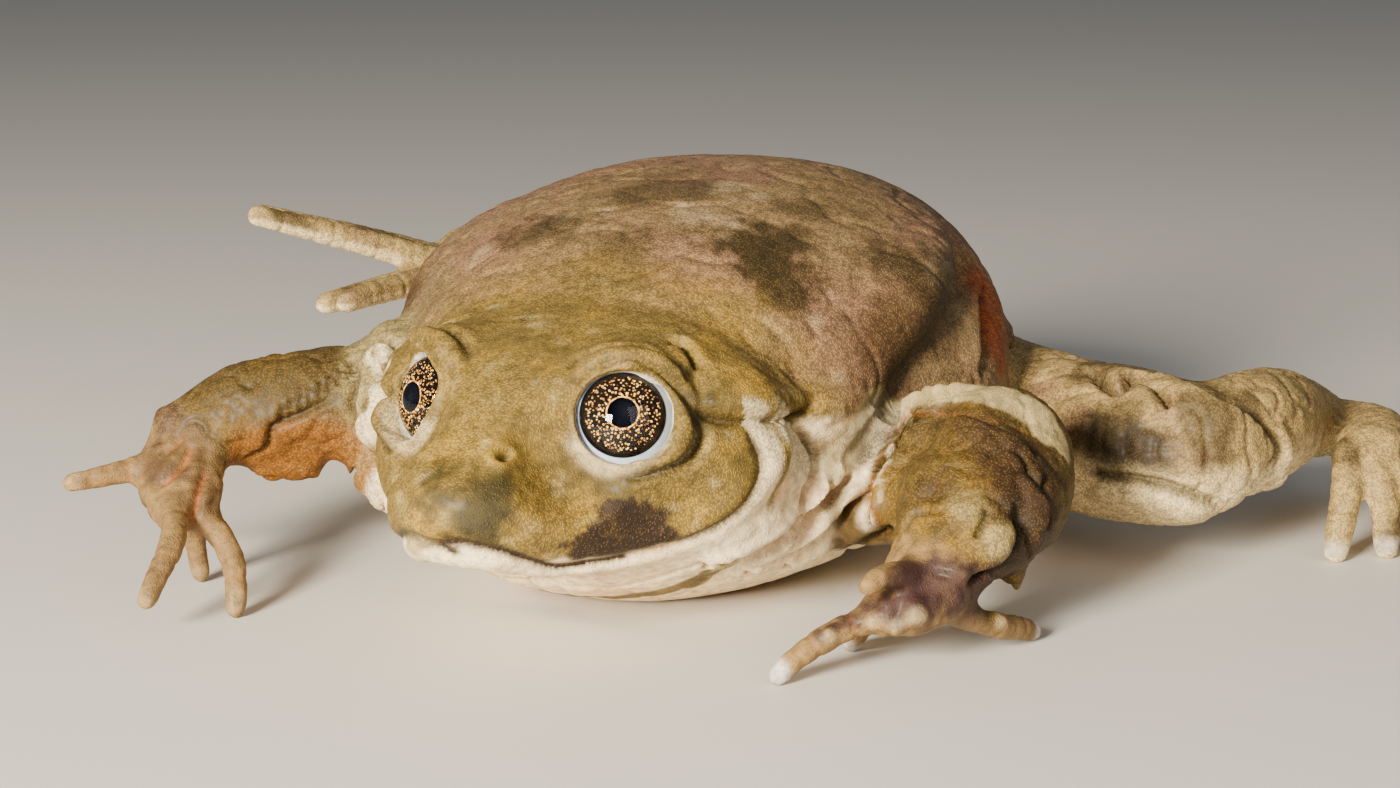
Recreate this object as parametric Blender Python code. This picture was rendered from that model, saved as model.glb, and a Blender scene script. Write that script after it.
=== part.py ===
"""A titicaca water frog at life size, still, lying on its belly with its hands and feet spread.

Metres, +Z up. The frog faces -Y and its own left side is +X. The origin is on the flat of the belly, at
floor level. The animal is modelled in a few soft lumps, each fused from plain closed forms, and the lumps
are then parted into the named pieces with thin cuts.
"""

import math

import bmesh
import bpy
from mathutils import Matrix, Vector
from mathutils.bvhtree import BVHTree

MM = 0.001
GAP = 0.3  # mm between neighbouring pieces
CLEARANCE = 0.35  # mm by which a limb is kept off the lump that it grows from
LEFT, RIGHT = 1, -1

# Driving sizes, in mm
SNOUT_TIP_Y = -56.4
VENT_Y = 53.5
EYE_CENTRE = (9.75, -37.7, 23.3)
EYE_RADIUS = 5.3
EYE_TURN_DEG = 33.0  # of each eye's axis, from straight ahead to the side
EYE_RISE_DEG = 22.0
LID_RADIUS = 6.7
LID_EDGE = 3.1  # from the eye's centre to the plane where the lids leave it
OPENING_RADIUS = 4.35
NECK_Y = -27.0
MOUTH_CORNER_Y = -30.8
HEAD_TURN_DEG = 6.0  # the head is turned a little to the frog's right, about the middle of its eye line
HEAD_PIVOT = (-0.4, -40.8, 0.0)
SHARP_DEG = 50.0  # edges bent more than this are drawn sharp
BELLY_SINK = 1.0  # how far the soft belly would sag below the floor if nothing held it

# How finely each lump is melted, in mm, how often it is softened and how many triangles it keeps
BODY_VOXEL, BODY_SOFTENING, BODY_TRIANGLES = 0.75, 6, 3500
ARM_VOXEL, ARM_SOFTENING, ARM_TRIANGLES = 0.42, 4, 1150
THIGH_VOXEL, THIGH_SOFTENING, THIGH_TRIANGLES = 0.8, 5, 360
SHANK_VOXEL, SHANK_SOFTENING, SHANK_TRIANGLES = 0.7, 5, 320
FOOT_VOXEL, FOOT_SOFTENING, FOOT_TRIANGLES = 0.42, 3, 850

CAP_ANGLES_DEG = (80, 52, 26)  # of the rings that round off a limb's end

for leftover in list(bpy.data.objects):
    bpy.data.objects.remove(leftover)


def at(point):
    """A point given in mm, in metres."""
    return Vector(point[:3]) * MM


def curve(t, a, b, c, d):
    """The Catmull-Rom curve's value at this share of the way from b to c."""
    return 0.5 * (2 * b + (c - a) * t + (2 * a - 5 * b + 4 * c - d) * t * t + (3 * b - a - 3 * c + d) * t**3)


def interpolate(rows, steps):
    """Rows of numbers filled in by a Catmull-Rom curve, with this many steps between each two rows."""
    filled = []
    for i in range(len(rows) - 1):
        before = rows[max(i - 1, 0)]
        after = rows[min(i + 2, len(rows) - 1)]
        for k in range(steps):
            t = k / steps
            filled.append([curve(t, *four) for four in zip(before, rows[i], rows[i + 1], after)])
    filled.append(list(rows[-1]))
    return filled


def looked_up(rows, key):
    """The other numbers of a table at this value of its first, rising one."""
    for low, high in zip(rows, rows[1:]):
        if key <= high[0]:
            t = max(0.0, (key - low[0]) / (high[0] - low[0]))
            return [a + (b - a) * t for a, b in zip(low[1:], high[1:])]
    return list(rows[-1][1:])


def loft(rings):
    """A closed mesh through rings of points, each end closed by a fan."""
    bm = bmesh.new()
    made = [[bm.verts.new(p) for p in ring] for ring in rings]
    count = len(made[0])
    for near, far in zip(made, made[1:]):
        for i in range(count):
            j = (i + 1) % count
            bm.faces.new((near[i], near[j], far[j], far[i]))
    for ring, turn in ((made[0], True), (made[-1], False)):
        middle = bm.verts.new(sum((v.co for v in ring), Vector()) / count)
        for i in range(count):
            j = (i + 1) % count
            bm.faces.new((ring[j], ring[i], middle) if turn else (ring[i], ring[j], middle))
    bmesh.ops.recalc_face_normals(bm, faces=bm.faces)
    mesh = bpy.data.meshes.new("form")
    bm.to_mesh(mesh)
    bm.free()
    return mesh


def limb(stations, sides=18, steps=4, up=(0, 0, 1)):
    """A round-ended soft tube. Each station is x, y, z, half its width and half its depth along up."""
    rows = interpolate(stations, steps)
    points = [at(row) for row in rows]
    tangents = []
    for i in range(len(points)):
        tangents.append((points[min(i + 1, len(points) - 1)] - points[max(i - 1, 0)]).normalized())
    ends = [(math.cos(math.radians(a)), math.sin(math.radians(a))) for a in CAP_ANGLES_DEG]
    first = [(points[0] - tangents[0] * rows[0][3] * MM * s, tangents[0], rows[0], c) for c, s in ends]
    last = [(points[-1] + tangents[-1] * rows[-1][3] * MM * s, tangents[-1], rows[-1], c) for c, s in ends]
    spine = first + [(p, t, row, 1.0) for p, t, row in zip(points, tangents, rows)] + last[::-1]
    rings = []
    across = None
    for point, tangent, row, share in spine:
        across = tangent.cross(Vector(up)) if across is None else across - tangent * across.dot(tangent)
        across = across.normalized()
        along = across.cross(tangent).normalized()
        ring = []
        for i in range(sides):
            a = 2 * math.pi * i / sides
            half_width, half_depth = row[3] * MM * share, row[4] * MM * share
            ring.append(point + across * math.cos(a) * half_width + along * math.sin(a) * half_depth)
        rings.append(ring)
    return loft(rings)


def ball(centre, radii, segments=24):
    """An ellipsoid with its axes along X, Y and Z."""
    bm = bmesh.new()
    bmesh.ops.create_uvsphere(bm, u_segments=segments, v_segments=segments // 2, radius=1.0)
    bmesh.ops.transform(bm, matrix=Matrix.Diagonal(Vector(radii) * MM).to_4x4(), verts=bm.verts)
    bmesh.ops.translate(bm, vec=at(centre), verts=bm.verts)
    mesh = bpy.data.meshes.new("form")
    bm.to_mesh(mesh)
    bm.free()
    return mesh


def disc(centre, normal, radius, thickness, segments=20, flare=0.0):
    """A flat round cutter, in mm, square to a normal and wider by the flare at its far side."""
    bm = bmesh.new()
    turn = Vector(normal).to_track_quat("Z", "Y").to_matrix().to_4x4()
    bmesh.ops.create_cone(
        bm,
        cap_ends=True,
        segments=segments,
        radius1=radius * MM,
        radius2=(radius + flare) * MM,
        depth=thickness * MM,
        matrix=Matrix.Translation(at(centre)) @ turn,
    )
    mesh = bpy.data.meshes.new("cutter")
    bm.to_mesh(mesh)
    bm.free()
    return mesh


def block(low, high):
    """A box between two corners in mm."""
    bm = bmesh.new()
    size = Vector(high) - Vector(low)
    middle = (Vector(high) + Vector(low)) / 2
    matrix = Matrix.Translation(middle * MM) @ Matrix.Diagonal(size * MM).to_4x4()
    bmesh.ops.create_cube(bm, size=1.0, matrix=matrix)
    mesh = bpy.data.meshes.new("cutter")
    bm.to_mesh(mesh)
    bm.free()
    return mesh


def joined(meshes):
    """One mesh object that holds copies of these meshes, still overlapping."""
    bm = bmesh.new()
    for mesh in meshes:
        bm.from_mesh(mesh)
    mesh = bpy.data.meshes.new("lump")
    bm.to_mesh(mesh)
    bm.free()
    obj = bpy.data.objects.new("lump", mesh)
    bpy.context.collection.objects.link(obj)
    return obj


def settle(obj):
    """Applies the object's modifiers."""
    bpy.context.view_layer.update()
    graph = bpy.context.evaluated_depsgraph_get()
    mesh = bpy.data.meshes.new_from_object(obj.evaluated_get(graph))
    obj.modifiers.clear()
    obj.data = mesh


def triangle_count(mesh):
    mesh.calc_loop_triangles()
    return len(mesh.loop_triangles)


def fuse(meshes, voxel, smoothing, triangles):
    """Melts overlapping closed forms into one skin, softens it and thins it to a number of triangles."""
    obj = joined(meshes)
    remesh = obj.modifiers.new("melt", "REMESH")
    remesh.mode = "VOXEL"
    remesh.voxel_size = voxel * MM
    soften = obj.modifiers.new("soften", "SMOOTH")
    soften.factor = 0.5
    soften.iterations = smoothing
    settle(obj)
    thin = obj.modifiers.new("thin", "DECIMATE")
    thin.ratio = triangles / triangle_count(obj.data)
    thin.use_collapse_triangulate = True
    settle(obj)
    return obj


def cut(obj, cutters):
    """Takes each closed cutter mesh away from the object."""
    for cutter_mesh in cutters:
        cutter = bpy.data.objects.new("cutter", cutter_mesh)
        bpy.context.collection.objects.link(cutter)
        boolean = obj.modifiers.new("cut", "BOOLEAN")
        boolean.operation = "DIFFERENCE"
        boolean.solver = "EXACT"
        boolean.object = cutter
        settle(obj)
        bpy.data.objects.remove(cutter)


SHARPEST_LEAN = 0.6  # below this a sharp corner is moved out no further


def swollen(obj, by):
    """A copy of the object's mesh with every point moved out by so many mm."""
    mesh = obj.data.copy()
    bm = bmesh.new()
    bm.from_mesh(mesh)
    bm.normal_update()
    moves = []
    for vert in bm.verts:
        lean = sum(vert.normal.dot(f.normal) for f in vert.link_faces) / max(len(vert.link_faces), 1)
        moves.append(vert.co + vert.normal * by * MM / max(lean, SHARPEST_LEAN))
    for vert, place in zip(bm.verts, moves):
        vert.co = place
    bm.to_mesh(mesh)
    bm.free()
    return mesh


def shells(mesh):
    """The separate closed surfaces of a mesh, as bmeshes."""
    bm = bmesh.new()
    bm.from_mesh(mesh)
    bmesh.ops.triangulate(bm, faces=bm.faces)
    seen = set()
    groups = []
    for start in bm.faces:
        if start.index in seen:
            continue
        seen.add(start.index)
        group, queue = [], [start]
        while queue:
            face = queue.pop()
            group.append(face)
            for edge in face.edges:
                for other in edge.link_faces:
                    if other.index not in seen:
                        seen.add(other.index)
                        queue.append(other)
        groups.append(group)
    made = []
    for group in groups:
        piece = bmesh.new()
        copies = {}
        for face in group:
            corners = []
            for vert in face.verts:
                if vert not in copies:
                    copies[vert] = piece.verts.new(vert.co)
                corners.append(copies[vert])
            piece.faces.new(corners)
        piece.normal_update()
        made.append(piece)
    bm.free()
    return made


def part_into(obj, pieces):
    """Makes each loose surface of a lump the piece whose point lies nearest to it, and drops the scraps."""
    surfaces = shells(obj.data)
    for name, (near, material) in pieces.items():
        distances = [BVHTree.FromBMesh(surface).find_nearest(at(near))[3] for surface in surfaces]
        mesh = bpy.data.meshes.new(name)
        surfaces[distances.index(min(distances))].to_mesh(mesh)
        mesh.materials.append(material)
        mesh.shade_smooth()
        mesh.set_sharp_from_angle(angle=math.radians(SHARP_DEG))
        bpy.context.collection.objects.link(bpy.data.objects.new(name, mesh))
    for surface in surfaces:
        surface.free()
    bpy.data.objects.remove(obj)


def material_of(name, colour, roughness):
    """A plain finish with this sRGB colour."""
    made = bpy.data.materials.new(name)
    made.use_nodes = True
    shader = made.node_tree.nodes["Principled BSDF"]
    linear = [c / 12.92 if c <= 0.04045 else ((c + 0.055) / 1.055) ** 2.4 for c in colour]
    shader.inputs["Base Color"].default_value = (*linear, 1.0)
    shader.inputs["Roughness"].default_value = roughness
    return made


# Body: a broad, flat-topped sack of a trunk behind a wide wedge of a head.

# y, half width, top, bottom, height of the widest line
TORSO = [
    (-38.0, 15.0, 26.0, 6.0, 16.0),
    (-30.0, 19.5, 31.0, 2.6, 16.0),
    (-22.0, 24.5, 35.2, 0.2, 16.5),
    (-14.0, 28.5, 38.2, -BELLY_SINK, 17.0),
    (-5.0, 32.8, 40.4, -BELLY_SINK, 18.0),
    (5.0, 34.4, 41.8, -BELLY_SINK, 18.0),
    (15.0, 33.4, 42.3, -BELLY_SINK, 18.0),
    (25.0, 30.2, 41.2, -BELLY_SINK, 17.5),
    (35.0, 25.2, 37.8, -BELLY_SINK, 17.0),
    (43.0, 18.6, 32.0, 0.4, 16.0),
    (49.5, 10.5, 25.0, 4.2, 15.0),
    (VENT_Y, 3.0, 18.5, 9.5, 14.0),
]
# y, half width, top, bottom, height of the widest line
HEAD = [
    (SNOUT_TIP_Y, 1.6, 19.0, 16.0, 17.4),
    (-55.6, 4.2, 19.8, 14.4, 16.8),
    (-53.8, 6.4, 20.6, 12.6, 16.0),
    (-50.8, 8.8, 22.2, 11.4, 15.4),
    (-45.8, 12.2, 25.8, 10.0, 15.4),
    (-40.8, 15.4, 29.2, 8.3, 16.2),
    (-35.8, 18.8, 30.8, 6.2, 17.2),
    (-32.8, 20.8, 31.6, 4.6, 18.2),
    (MOUTH_CORNER_Y, 21.8, 32.0, 3.8, 19.4),
    (-26.3, 22.0, 32.4, 2.6, 19.0),
    (-20.8, 19.0, 31.0, 2.0, 17.0),
]
# y and height of the mouth, which opens under the overhang of the snout
MOUTH_LINE = [
    (-54.8, 13.8),
    (-53.8, 13.6),
    (-50.8, 12.3),
    (-45.8, 11.4),
    (-40.8, 11.7),
    (-35.8, 12.9),
    (-32.8, 15.0),
    (MOUTH_CORNER_Y, 19.4),
]
TOP_POWER = 2.35
UNDER_POWER = 2.15
BODY_SIDES = 44
ROWS_BETWEEN = 4
FOLD_END_TAPER = 0.55


def body_point(row, angle):
    """The point of a body section at this angle, in mm, counted up from the frog's left side."""
    y, half_width, top, bottom, widest = row
    c, s = math.cos(angle), math.sin(angle)
    power = TOP_POWER if s > 0 else UNDER_POWER
    reach = (top - widest) if s > 0 else (widest - bottom)
    x = math.copysign(abs(c) ** (2 / power), c) * half_width
    return (x, y, widest + math.copysign(abs(s) ** (2 / power), s) * reach)


def body_form(table):
    rings = []
    for row in interpolate(table, ROWS_BETWEEN):
        angles = [2 * math.pi * i / BODY_SIDES for i in range(BODY_SIDES)]
        rings.append([at(body_point(row, a)) for a in angles])
    return loft(rings)


def skin_fold(table, route, radius, sink=0.45, flat=0.75):
    """A soft roll of skin on the body. The route has the y and the angle in degrees of each of its points."""
    stations = []
    for y, degrees in route:
        row = [y, *looked_up(table, y)]
        x, _, z = body_point(row, math.radians(degrees))
        centre = Vector((0, y, row[4]))
        inward = (centre - Vector((x, y, z))).normalized()
        place = Vector((x, y, z)) + inward * radius * sink
        taper = FOLD_END_TAPER if (y, degrees) in (route[0], route[-1]) else 1.0
        stations.append((*place, radius * taper, radius * taper * flat))
    return limb(stations, sides=12, steps=4)


def both_sides(route):
    return route, [(y, 180 - degrees) for y, degrees in route]


def eye_axis(side):
    turn, rise = math.radians(EYE_TURN_DEG), math.radians(EYE_RISE_DEG)
    sideways, ahead = math.sin(turn) * math.cos(rise), math.cos(turn) * math.cos(rise)
    return Vector((side * sideways, -ahead, math.sin(rise)))


def eye_centre(side):
    return Vector((side * EYE_CENTRE[0], *EYE_CENTRE[1:]))


HEAD_TURN = (
    Matrix.Translation(Vector((HEAD_PIVOT[0], HEAD_PIVOT[1], 0)) * MM)
    @ Matrix.Rotation(-math.radians(HEAD_TURN_DEG), 4, "Z")
    @ Matrix.Translation(Vector((0, -HEAD_PIVOT[1], 0)) * MM)
)


def turned(mesh):
    """A form or cutter of the head, modelled straight ahead, brought to where the head points."""
    mesh.transform(HEAD_TURN)
    return mesh


body_forms = [body_form(TORSO)]
head_forms = [body_form(HEAD)]

# The edge of the back's loose skin runs from behind each eye over the jaw to the shoulder.
BACK_EDGE = [(-33.5, 48), (-30.0, 32), (-26.5, 21), (-22.0, 16), (-16.0, 15)]
# The lower lip runs on past the corner of the mouth and rises behind it as a pale collar.
LIP_COLLAR = [(-41.0, -20), (-35.6, -14), (-31.0, -6), (-28.0, 2), (-26.5, 12)]
THROAT_FOLDS = [
    [(-40.0, -42), (-33.0, -36), (-26.0, -24), (-22.0, -6)],
    [(-36.0, -60), (-29.0, -54), (-22.0, -40), (-17.5, -22)],
]
FLANK_FOLDS = [
    [(-14.0, 30), (-11.0, 8), (-12.0, -20)],
    [(12.0, 2), (22.0, -10), (30.0, -28)],
    [(20.0, 30), (31.0, 12), (36.0, -14)],
    [(34.0, 44), (42.0, 24), (44.0, -10)],
]
BACK_FOLDS = [[(-4.0, 52), (12.0, 44), (26.0, 40)], [(0.0, 26), (12.0, 22), (24.0, 24)]]
for route in both_sides(BACK_EDGE):
    body_forms.append(skin_fold(TORSO, route, 3.0, sink=0.5))
for route in both_sides(LIP_COLLAR):
    head_forms.append(skin_fold(HEAD, route, 2.2, sink=0.25))
for routes, radius in ((THROAT_FOLDS, 1.9), (FLANK_FOLDS, 2.6), (BACK_FOLDS, 2.4)):
    for one_side in routes:
        for route in both_sides(one_side):
            body_forms.append(skin_fold(TORSO, route, radius, sink=0.6))

# Lips: the upper one a rounded edge, the lower one a fuller roll under it.
LIP_STEPS = 26
UPPER_LIP_RADIUS, LOWER_LIP_RADIUS = 1.3, 1.1
LIP_SINK = 0.85  # of its radius, how far a lip's middle lies inside the head's outline
LIP_SETBACK = 0.2
LIP_BUNCHING = 1.6  # brings the lips' stations closer together where they turn, at the front


def half_width_at(row, height):
    """How far out a body section reaches at this height, in mm."""
    _, half_width, top, bottom, widest = row
    power = TOP_POWER if height > widest else UNDER_POWER
    reach = top - widest if height > widest else widest - bottom
    return half_width * max(0.0, 1 - (abs(height - widest) / reach) ** power) ** (1 / power)


def mouth_place(share):
    """Half width, y and height of the mouth at this share of the way from its front to its corner."""
    front = MOUTH_LINE[0][0]
    y = front + (MOUTH_CORNER_Y - front) * share**LIP_BUNCHING
    height = looked_up(MOUTH_LINE, y)[0]
    return half_width_at([y, *looked_up(HEAD, y)], height), y, height


for drop, radius in ((-1.0, UPPER_LIP_RADIUS), (1.0, LOWER_LIP_RADIUS)):
    stations = []
    for i in range(-LIP_STEPS, LIP_STEPS + 1):
        half_width, y, height = mouth_place(abs(i) / LIP_STEPS)
        x = math.copysign(max(half_width - radius * LIP_SINK, 0.0), i)
        stations.append((x, y + LIP_SETBACK, height - drop, radius, radius))
    head_forms.append(limb(stations, sides=10, steps=1))

# Soft masses round each eye. The brow and the bag are placed from the eye's centre.
LIDS = (LID_RADIUS, LID_RADIUS, LID_RADIUS)
BROW_PLACE, BROW = (-0.6, 2.0, 1.2), (6.6, 7.6, 6.7)
LID_BAG_PLACE, LID_BAG = (0.8, -0.4, -2.2), (7.2, 6.8, 5.6)
JAW_MUSCLE_PLACE, JAW_MUSCLE = (14.4, -33.0, 19.6), (6.6, 6.4, 5.6)


def on_side(side, place):
    """A place given for the left side, on this side."""
    return Vector((side * place[0], *place[1:]))


for side in (LEFT, RIGHT):
    centre = eye_centre(side)
    head_forms.append(ball(centre, LIDS))
    head_forms.append(ball(centre + on_side(side, BROW_PLACE), BROW))
    head_forms.append(ball(centre + on_side(side, LID_BAG_PLACE), LID_BAG))
    head_forms.append(ball(on_side(side, JAW_MUSCLE_PLACE), JAW_MUSCLE))

body_forms += [turned(form) for form in head_forms]
body = fuse(body_forms, BODY_VOXEL, BODY_SOFTENING, BODY_TRIANGLES)
FLOOR = block((-150, -150, -30), (150, 150, 0))
cut(body, [FLOOR.copy()])

# Each eye is a ball in a socket a little wider, which opens between the lids as a round hole.
NOSTRIL = (4.2, -50.2, 22.1)
NOSTRIL_AXIS = (0.3, -0.45, 0.84)
NOSTRIL_RADIUS, NOSTRIL_DEPTH = 0.6, 3.0
LID_THICKNESS = 0.5
OPENING_DEPTH = 6.0  # of the cutter that opens the lids, from the lids' edge outwards
OPENING_FLARE = 3.2
for side in (LEFT, RIGHT):
    axis, centre = eye_axis(side), eye_centre(side)
    socket = ball(centre, (EYE_RADIUS + GAP,) * 3, segments=24)
    middle = centre + axis * (LID_EDGE - LID_THICKNESS + OPENING_DEPTH / 2)
    opening = disc(middle, axis, OPENING_RADIUS, OPENING_DEPTH, segments=24, flare=OPENING_FLARE)
    pit, pit_axis = on_side(side, NOSTRIL), on_side(side, NOSTRIL_AXIS)
    nostril = disc(pit, pit_axis, NOSTRIL_RADIUS, NOSTRIL_DEPTH, segments=8)
    cut(body, [turned(socket), turned(opening), turned(nostril)])
body_clearance = swollen(body, CLEARANCE)


def mouth_sheet():
    """The thin cut between the jaws: a sheet along the mouth line, turned down at the jaw's root."""
    half = GAP / 2
    profile = [(SNOUT_TIP_Y - 5.0, MOUTH_LINE[0][1]), *MOUTH_LINE]
    corner_z = profile[-1][1]
    upper = [(y, z + half) for y, z in profile] + [(MOUTH_CORNER_Y + 2 * half, corner_z + half)]
    lower = [(y, z - half) for y, z in profile]
    outline = [*upper, (MOUTH_CORNER_Y + 2 * half, -5.0), (MOUTH_CORNER_Y, -5.0), *lower[::-1]]
    bm = bmesh.new()
    left = [bm.verts.new(at((40.0, y, z))) for y, z in outline]
    right = [bm.verts.new(at((-40.0, y, z))) for y, z in outline]
    bm.faces.new(left)
    bm.faces.new(right[::-1])
    for i in range(len(outline)):
        j = (i + 1) % len(outline)
        bm.faces.new((left[i], right[i], right[j], left[j]))
    bmesh.ops.recalc_face_normals(bm, faces=bm.faces)
    mesh = bpy.data.meshes.new("cutter")
    bm.to_mesh(mesh)
    bm.free()
    return mesh


neck_cut = block((-60, NECK_Y - GAP / 2, -20), (60, NECK_Y + GAP / 2, 60))
cut(body, [turned(neck_cut), turned(mouth_sheet())])

BACK_SKIN = material_of("back_skin", (0.55, 0.48, 0.33), 0.42)
THROAT_SKIN = material_of("throat_skin", (0.80, 0.70, 0.54), 0.42)
LIMB_SKIN = material_of("limb_skin", (0.52, 0.45, 0.28), 0.42)
FINGER_SKIN = material_of("finger_skin", (0.70, 0.64, 0.50), 0.42)
EYE = material_of("eye", (0.10, 0.07, 0.04), 0.08)
part_into(
    body,
    {
        "torso": ((0, 60, 15), BACK_SKIN),
        "head": ((0, -40, 36), BACK_SKIN),
        "lower_jaw": ((0, -50, 2), THROAT_SKIN),
    },
)

for side, word in ((LEFT, "left"), (RIGHT, "right")):
    bm = bmesh.new()
    bmesh.ops.create_uvsphere(bm, u_segments=18, v_segments=10, radius=EYE_RADIUS * MM)
    turn = eye_axis(side).to_track_quat("Z", "Y").to_matrix().to_4x4()
    place = HEAD_TURN @ Matrix.Translation(at(eye_centre(side))) @ turn
    bmesh.ops.transform(bm, matrix=place, verts=bm.verts)
    mesh = bpy.data.meshes.new(f"eye_{word}")
    bm.to_mesh(mesh)
    bm.free()
    mesh.materials.append(EYE)
    mesh.shade_smooth()
    bpy.context.collection.objects.link(bpy.data.objects.new(f"eye_{word}", mesh))


# Arms: short and soft, with a loose sleeve of skin round each elbow and four free fingers on each hand.

FINGER_ROOT, FINGER_TIP = 1.45, 0.95
TOE_ROOT, TOE_TIP = 1.9, 1.3
FINGER_REST, TOE_REST = 0.85, 1.05  # height of a tip's middle when its pad rests on the floor


def ring_fold(centre, first, second, radius):
    """A roll of skin all round a limb: a circle from its centre and two half axes, in mm."""
    stations = []
    for i in range(17):
        a = 2 * math.pi * i / 16
        place = Vector(centre) + Vector(first) * math.cos(a) + Vector(second) * math.sin(a)
        stations.append((*place, radius, radius))
    return limb(stations, sides=10, steps=2)


def digit(route, root=FINGER_ROOT, tip=FINGER_TIP):
    """A finger or toe that thins from its root to a rounded tip. The route is a list of points in mm."""
    radii = [root + (tip - root) * i / (len(route) - 1) for i in range(len(route))]
    return limb([(*p, radius, radius) for p, radius in zip(route, radii)], sides=12)


def root_cut(route, radius=2.9, along=0.8):
    """A thin disc across a digit, a little way past its root."""
    a, b = Vector(route[0]), Vector(route[1])
    return disc(a + (b - a) * along, b - a, radius, GAP, segments=16)


FINGERS_LEFT = [
    [(37.2, -34.2, 9.6), (35.8, -37.8, 10.5), (34.8, -39.8, 9.9)],
    [(35.6, -35.2, 6.4), (31.6, -38.2, 4.8), (28.4, -40.9, 2.6), (26.8, -42.1, FINGER_REST)],
    [(35.4, -32.4, 5.8), (32.0, -30.9, 3.8), (29.9, -29.7, FINGER_REST)],
    [(40.6, -30.2, 5.4), (43.4, -25.4, 3.0), (44.9, -21.4, 1.7), (45.4, -19.4, FINGER_REST)],
]
FINGERS_RIGHT = [
    [(-45.4, -35.4, 13.4), (-48.6, -38.6, 12.9), (-51.8, -41.8, 12.3)],
    [(-40.6, -40.0, 10.4), (-37.6, -44.6, 8.6), (-36.8, -48.6, 6.2), (-36.4, -51.8, 4.0)],
    [(-38.6, -38.0, 9.6), (-34.4, -39.4, 6.2), (-32.6, -41.2, 2.8), (-32.2, -42.2, FINGER_REST)],
    [(-42.0, -34.8, 10.0), (-42.6, -33.4, 6.0), (-42.6, -32.2, FINGER_REST)],
]
ARM_LEFT = [
    limb([(18, -11, 14.4, 8.2, 8.0), (27, -12.6, 14.0, 7.8, 7.4), (34, -12.6, 14.6, 7.4, 7.4),
          (39.2, -12.4, 15.6, 7.2, 7.4)]),
    limb([(40.0, -12.6, 16.4, 7.8, 8.0), (40.2, -17.6, 14.6, 8.4, 7.9), (40.0, -23.4, 13.2, 7.8, 5.9),
          (39.0, -28.6, 10.4, 5.6, 4.4), (37.8, -31.6, 8.0, 4.6, 3.2)]),
    limb([(38.2, -30.6, 7.6, 4.4, 3.2), (36.8, -33.6, 6.6, 4.2, 2.6), (35.6, -34.8, 6.2, 3.2, 2.2)]),
    ring_fold((36.2, -15.2, 14.6), (-1.0, 2.4, 8.2), (-6.6, -3.2, 0.4), 1.8),
    limb([(43.8, -22.6, 9.6, 1.8, 1.8), (44.2, -22.3, 7.4, 1.5, 1.5), (44.4, -22.1, 6.2, 1.0, 1.0)]),
]
ARM_RIGHT = [
    limb([(-15, -14, 18, 8.4, 8.2), (-23, -18.6, 18.4, 7.6, 7.2), (-29, -22, 18.6, 6.0, 5.8)]),
    limb([(-28, -21.4, 18.6, 5.8, 5.6), (-33.6, -24.4, 19.0, 5.6, 5.4), (-39, -27.6, 18.2, 5.4, 5.2),
          (-43.6, -30.8, 15.8, 4.4, 4.2)]),
    limb([(-33.6, -24.4, 15.0, 2.2, 4.8), (-38.0, -27.0, 14.0, 2.0, 4.0)]),
    limb([(-43.4, -31.2, 15.4, 4.6, 3.4), (-42.8, -35.0, 12.8, 4.8, 2.8), (-40.4, -38.0, 10.6, 4.0, 2.4)]),
    ring_fold((-25.6, -20.8, 18.4), (0.4, 0.8, 7.1), (-3.2, 5.6, 0.0), 2.0),
]


def arm(word, forms, fingers, elbow, wrist, near):
    """One arm, trimmed clear of the body and parted at the elbow, the wrist and the fingers' roots.

    The elbow and the wrist have a middle, an axis and a radius. Near has a point close to each of the upper
    arm, the forearm and the hand.
    """
    lump = fuse(forms + [digit(route) for route in fingers], ARM_VOXEL, ARM_SOFTENING, ARM_TRIANGLES)
    cut(lump, [FLOOR.copy(), body_clearance.copy(), disc(*elbow, GAP), disc(*wrist, GAP)])
    cut(lump, [root_cut(route) for route in fingers])
    names = (f"upper_arm_{word}", f"forearm_{word}", f"hand_{word}")
    pieces = {name: (point, LIMB_SKIN) for name, point in zip(names, near)}
    pieces |= {f"finger_{i}_{word}": (route[-1], FINGER_SKIN) for i, route in enumerate(fingers, 1)}
    part_into(lump, pieces)


arm(
    "left",
    ARM_LEFT,
    FINGERS_LEFT,
    elbow=((39.4, -13.6, 16.0), (0.71, -0.62, -0.33), 15.0),
    wrist=((39.4, -29.8, 8.8), (-0.3, -0.8, -0.52), 8.5),
    near=((34.0, -6.0, 22.0), (40.0, -20.0, 22.0), (38.0, -33.0, 4.0)),
)
arm(
    "right",
    ARM_RIGHT,
    FINGERS_RIGHT,
    elbow=((-30.0, -22.4, 18.4), (-0.87, -0.48, 0.0), 9.0),
    wrist=((-43.2, -30.9, 15.8), (-0.6, -0.65, -0.45), 7.0),
    near=((-22.0, -16.0, 24.0), (-37.0, -26.0, 25.0), (-43.0, -34.0, 16.0)),
)


# Hind legs: the left folded with its foot on the floor, the right trailing with its foot held clear of it.

WEB_THICKNESS = 1.2
WEB_HOLLOW = 0.45  # how much shorter a web is half way between its toes
WEB_STEPS, WEB_COLUMNS = 8, 4


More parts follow.
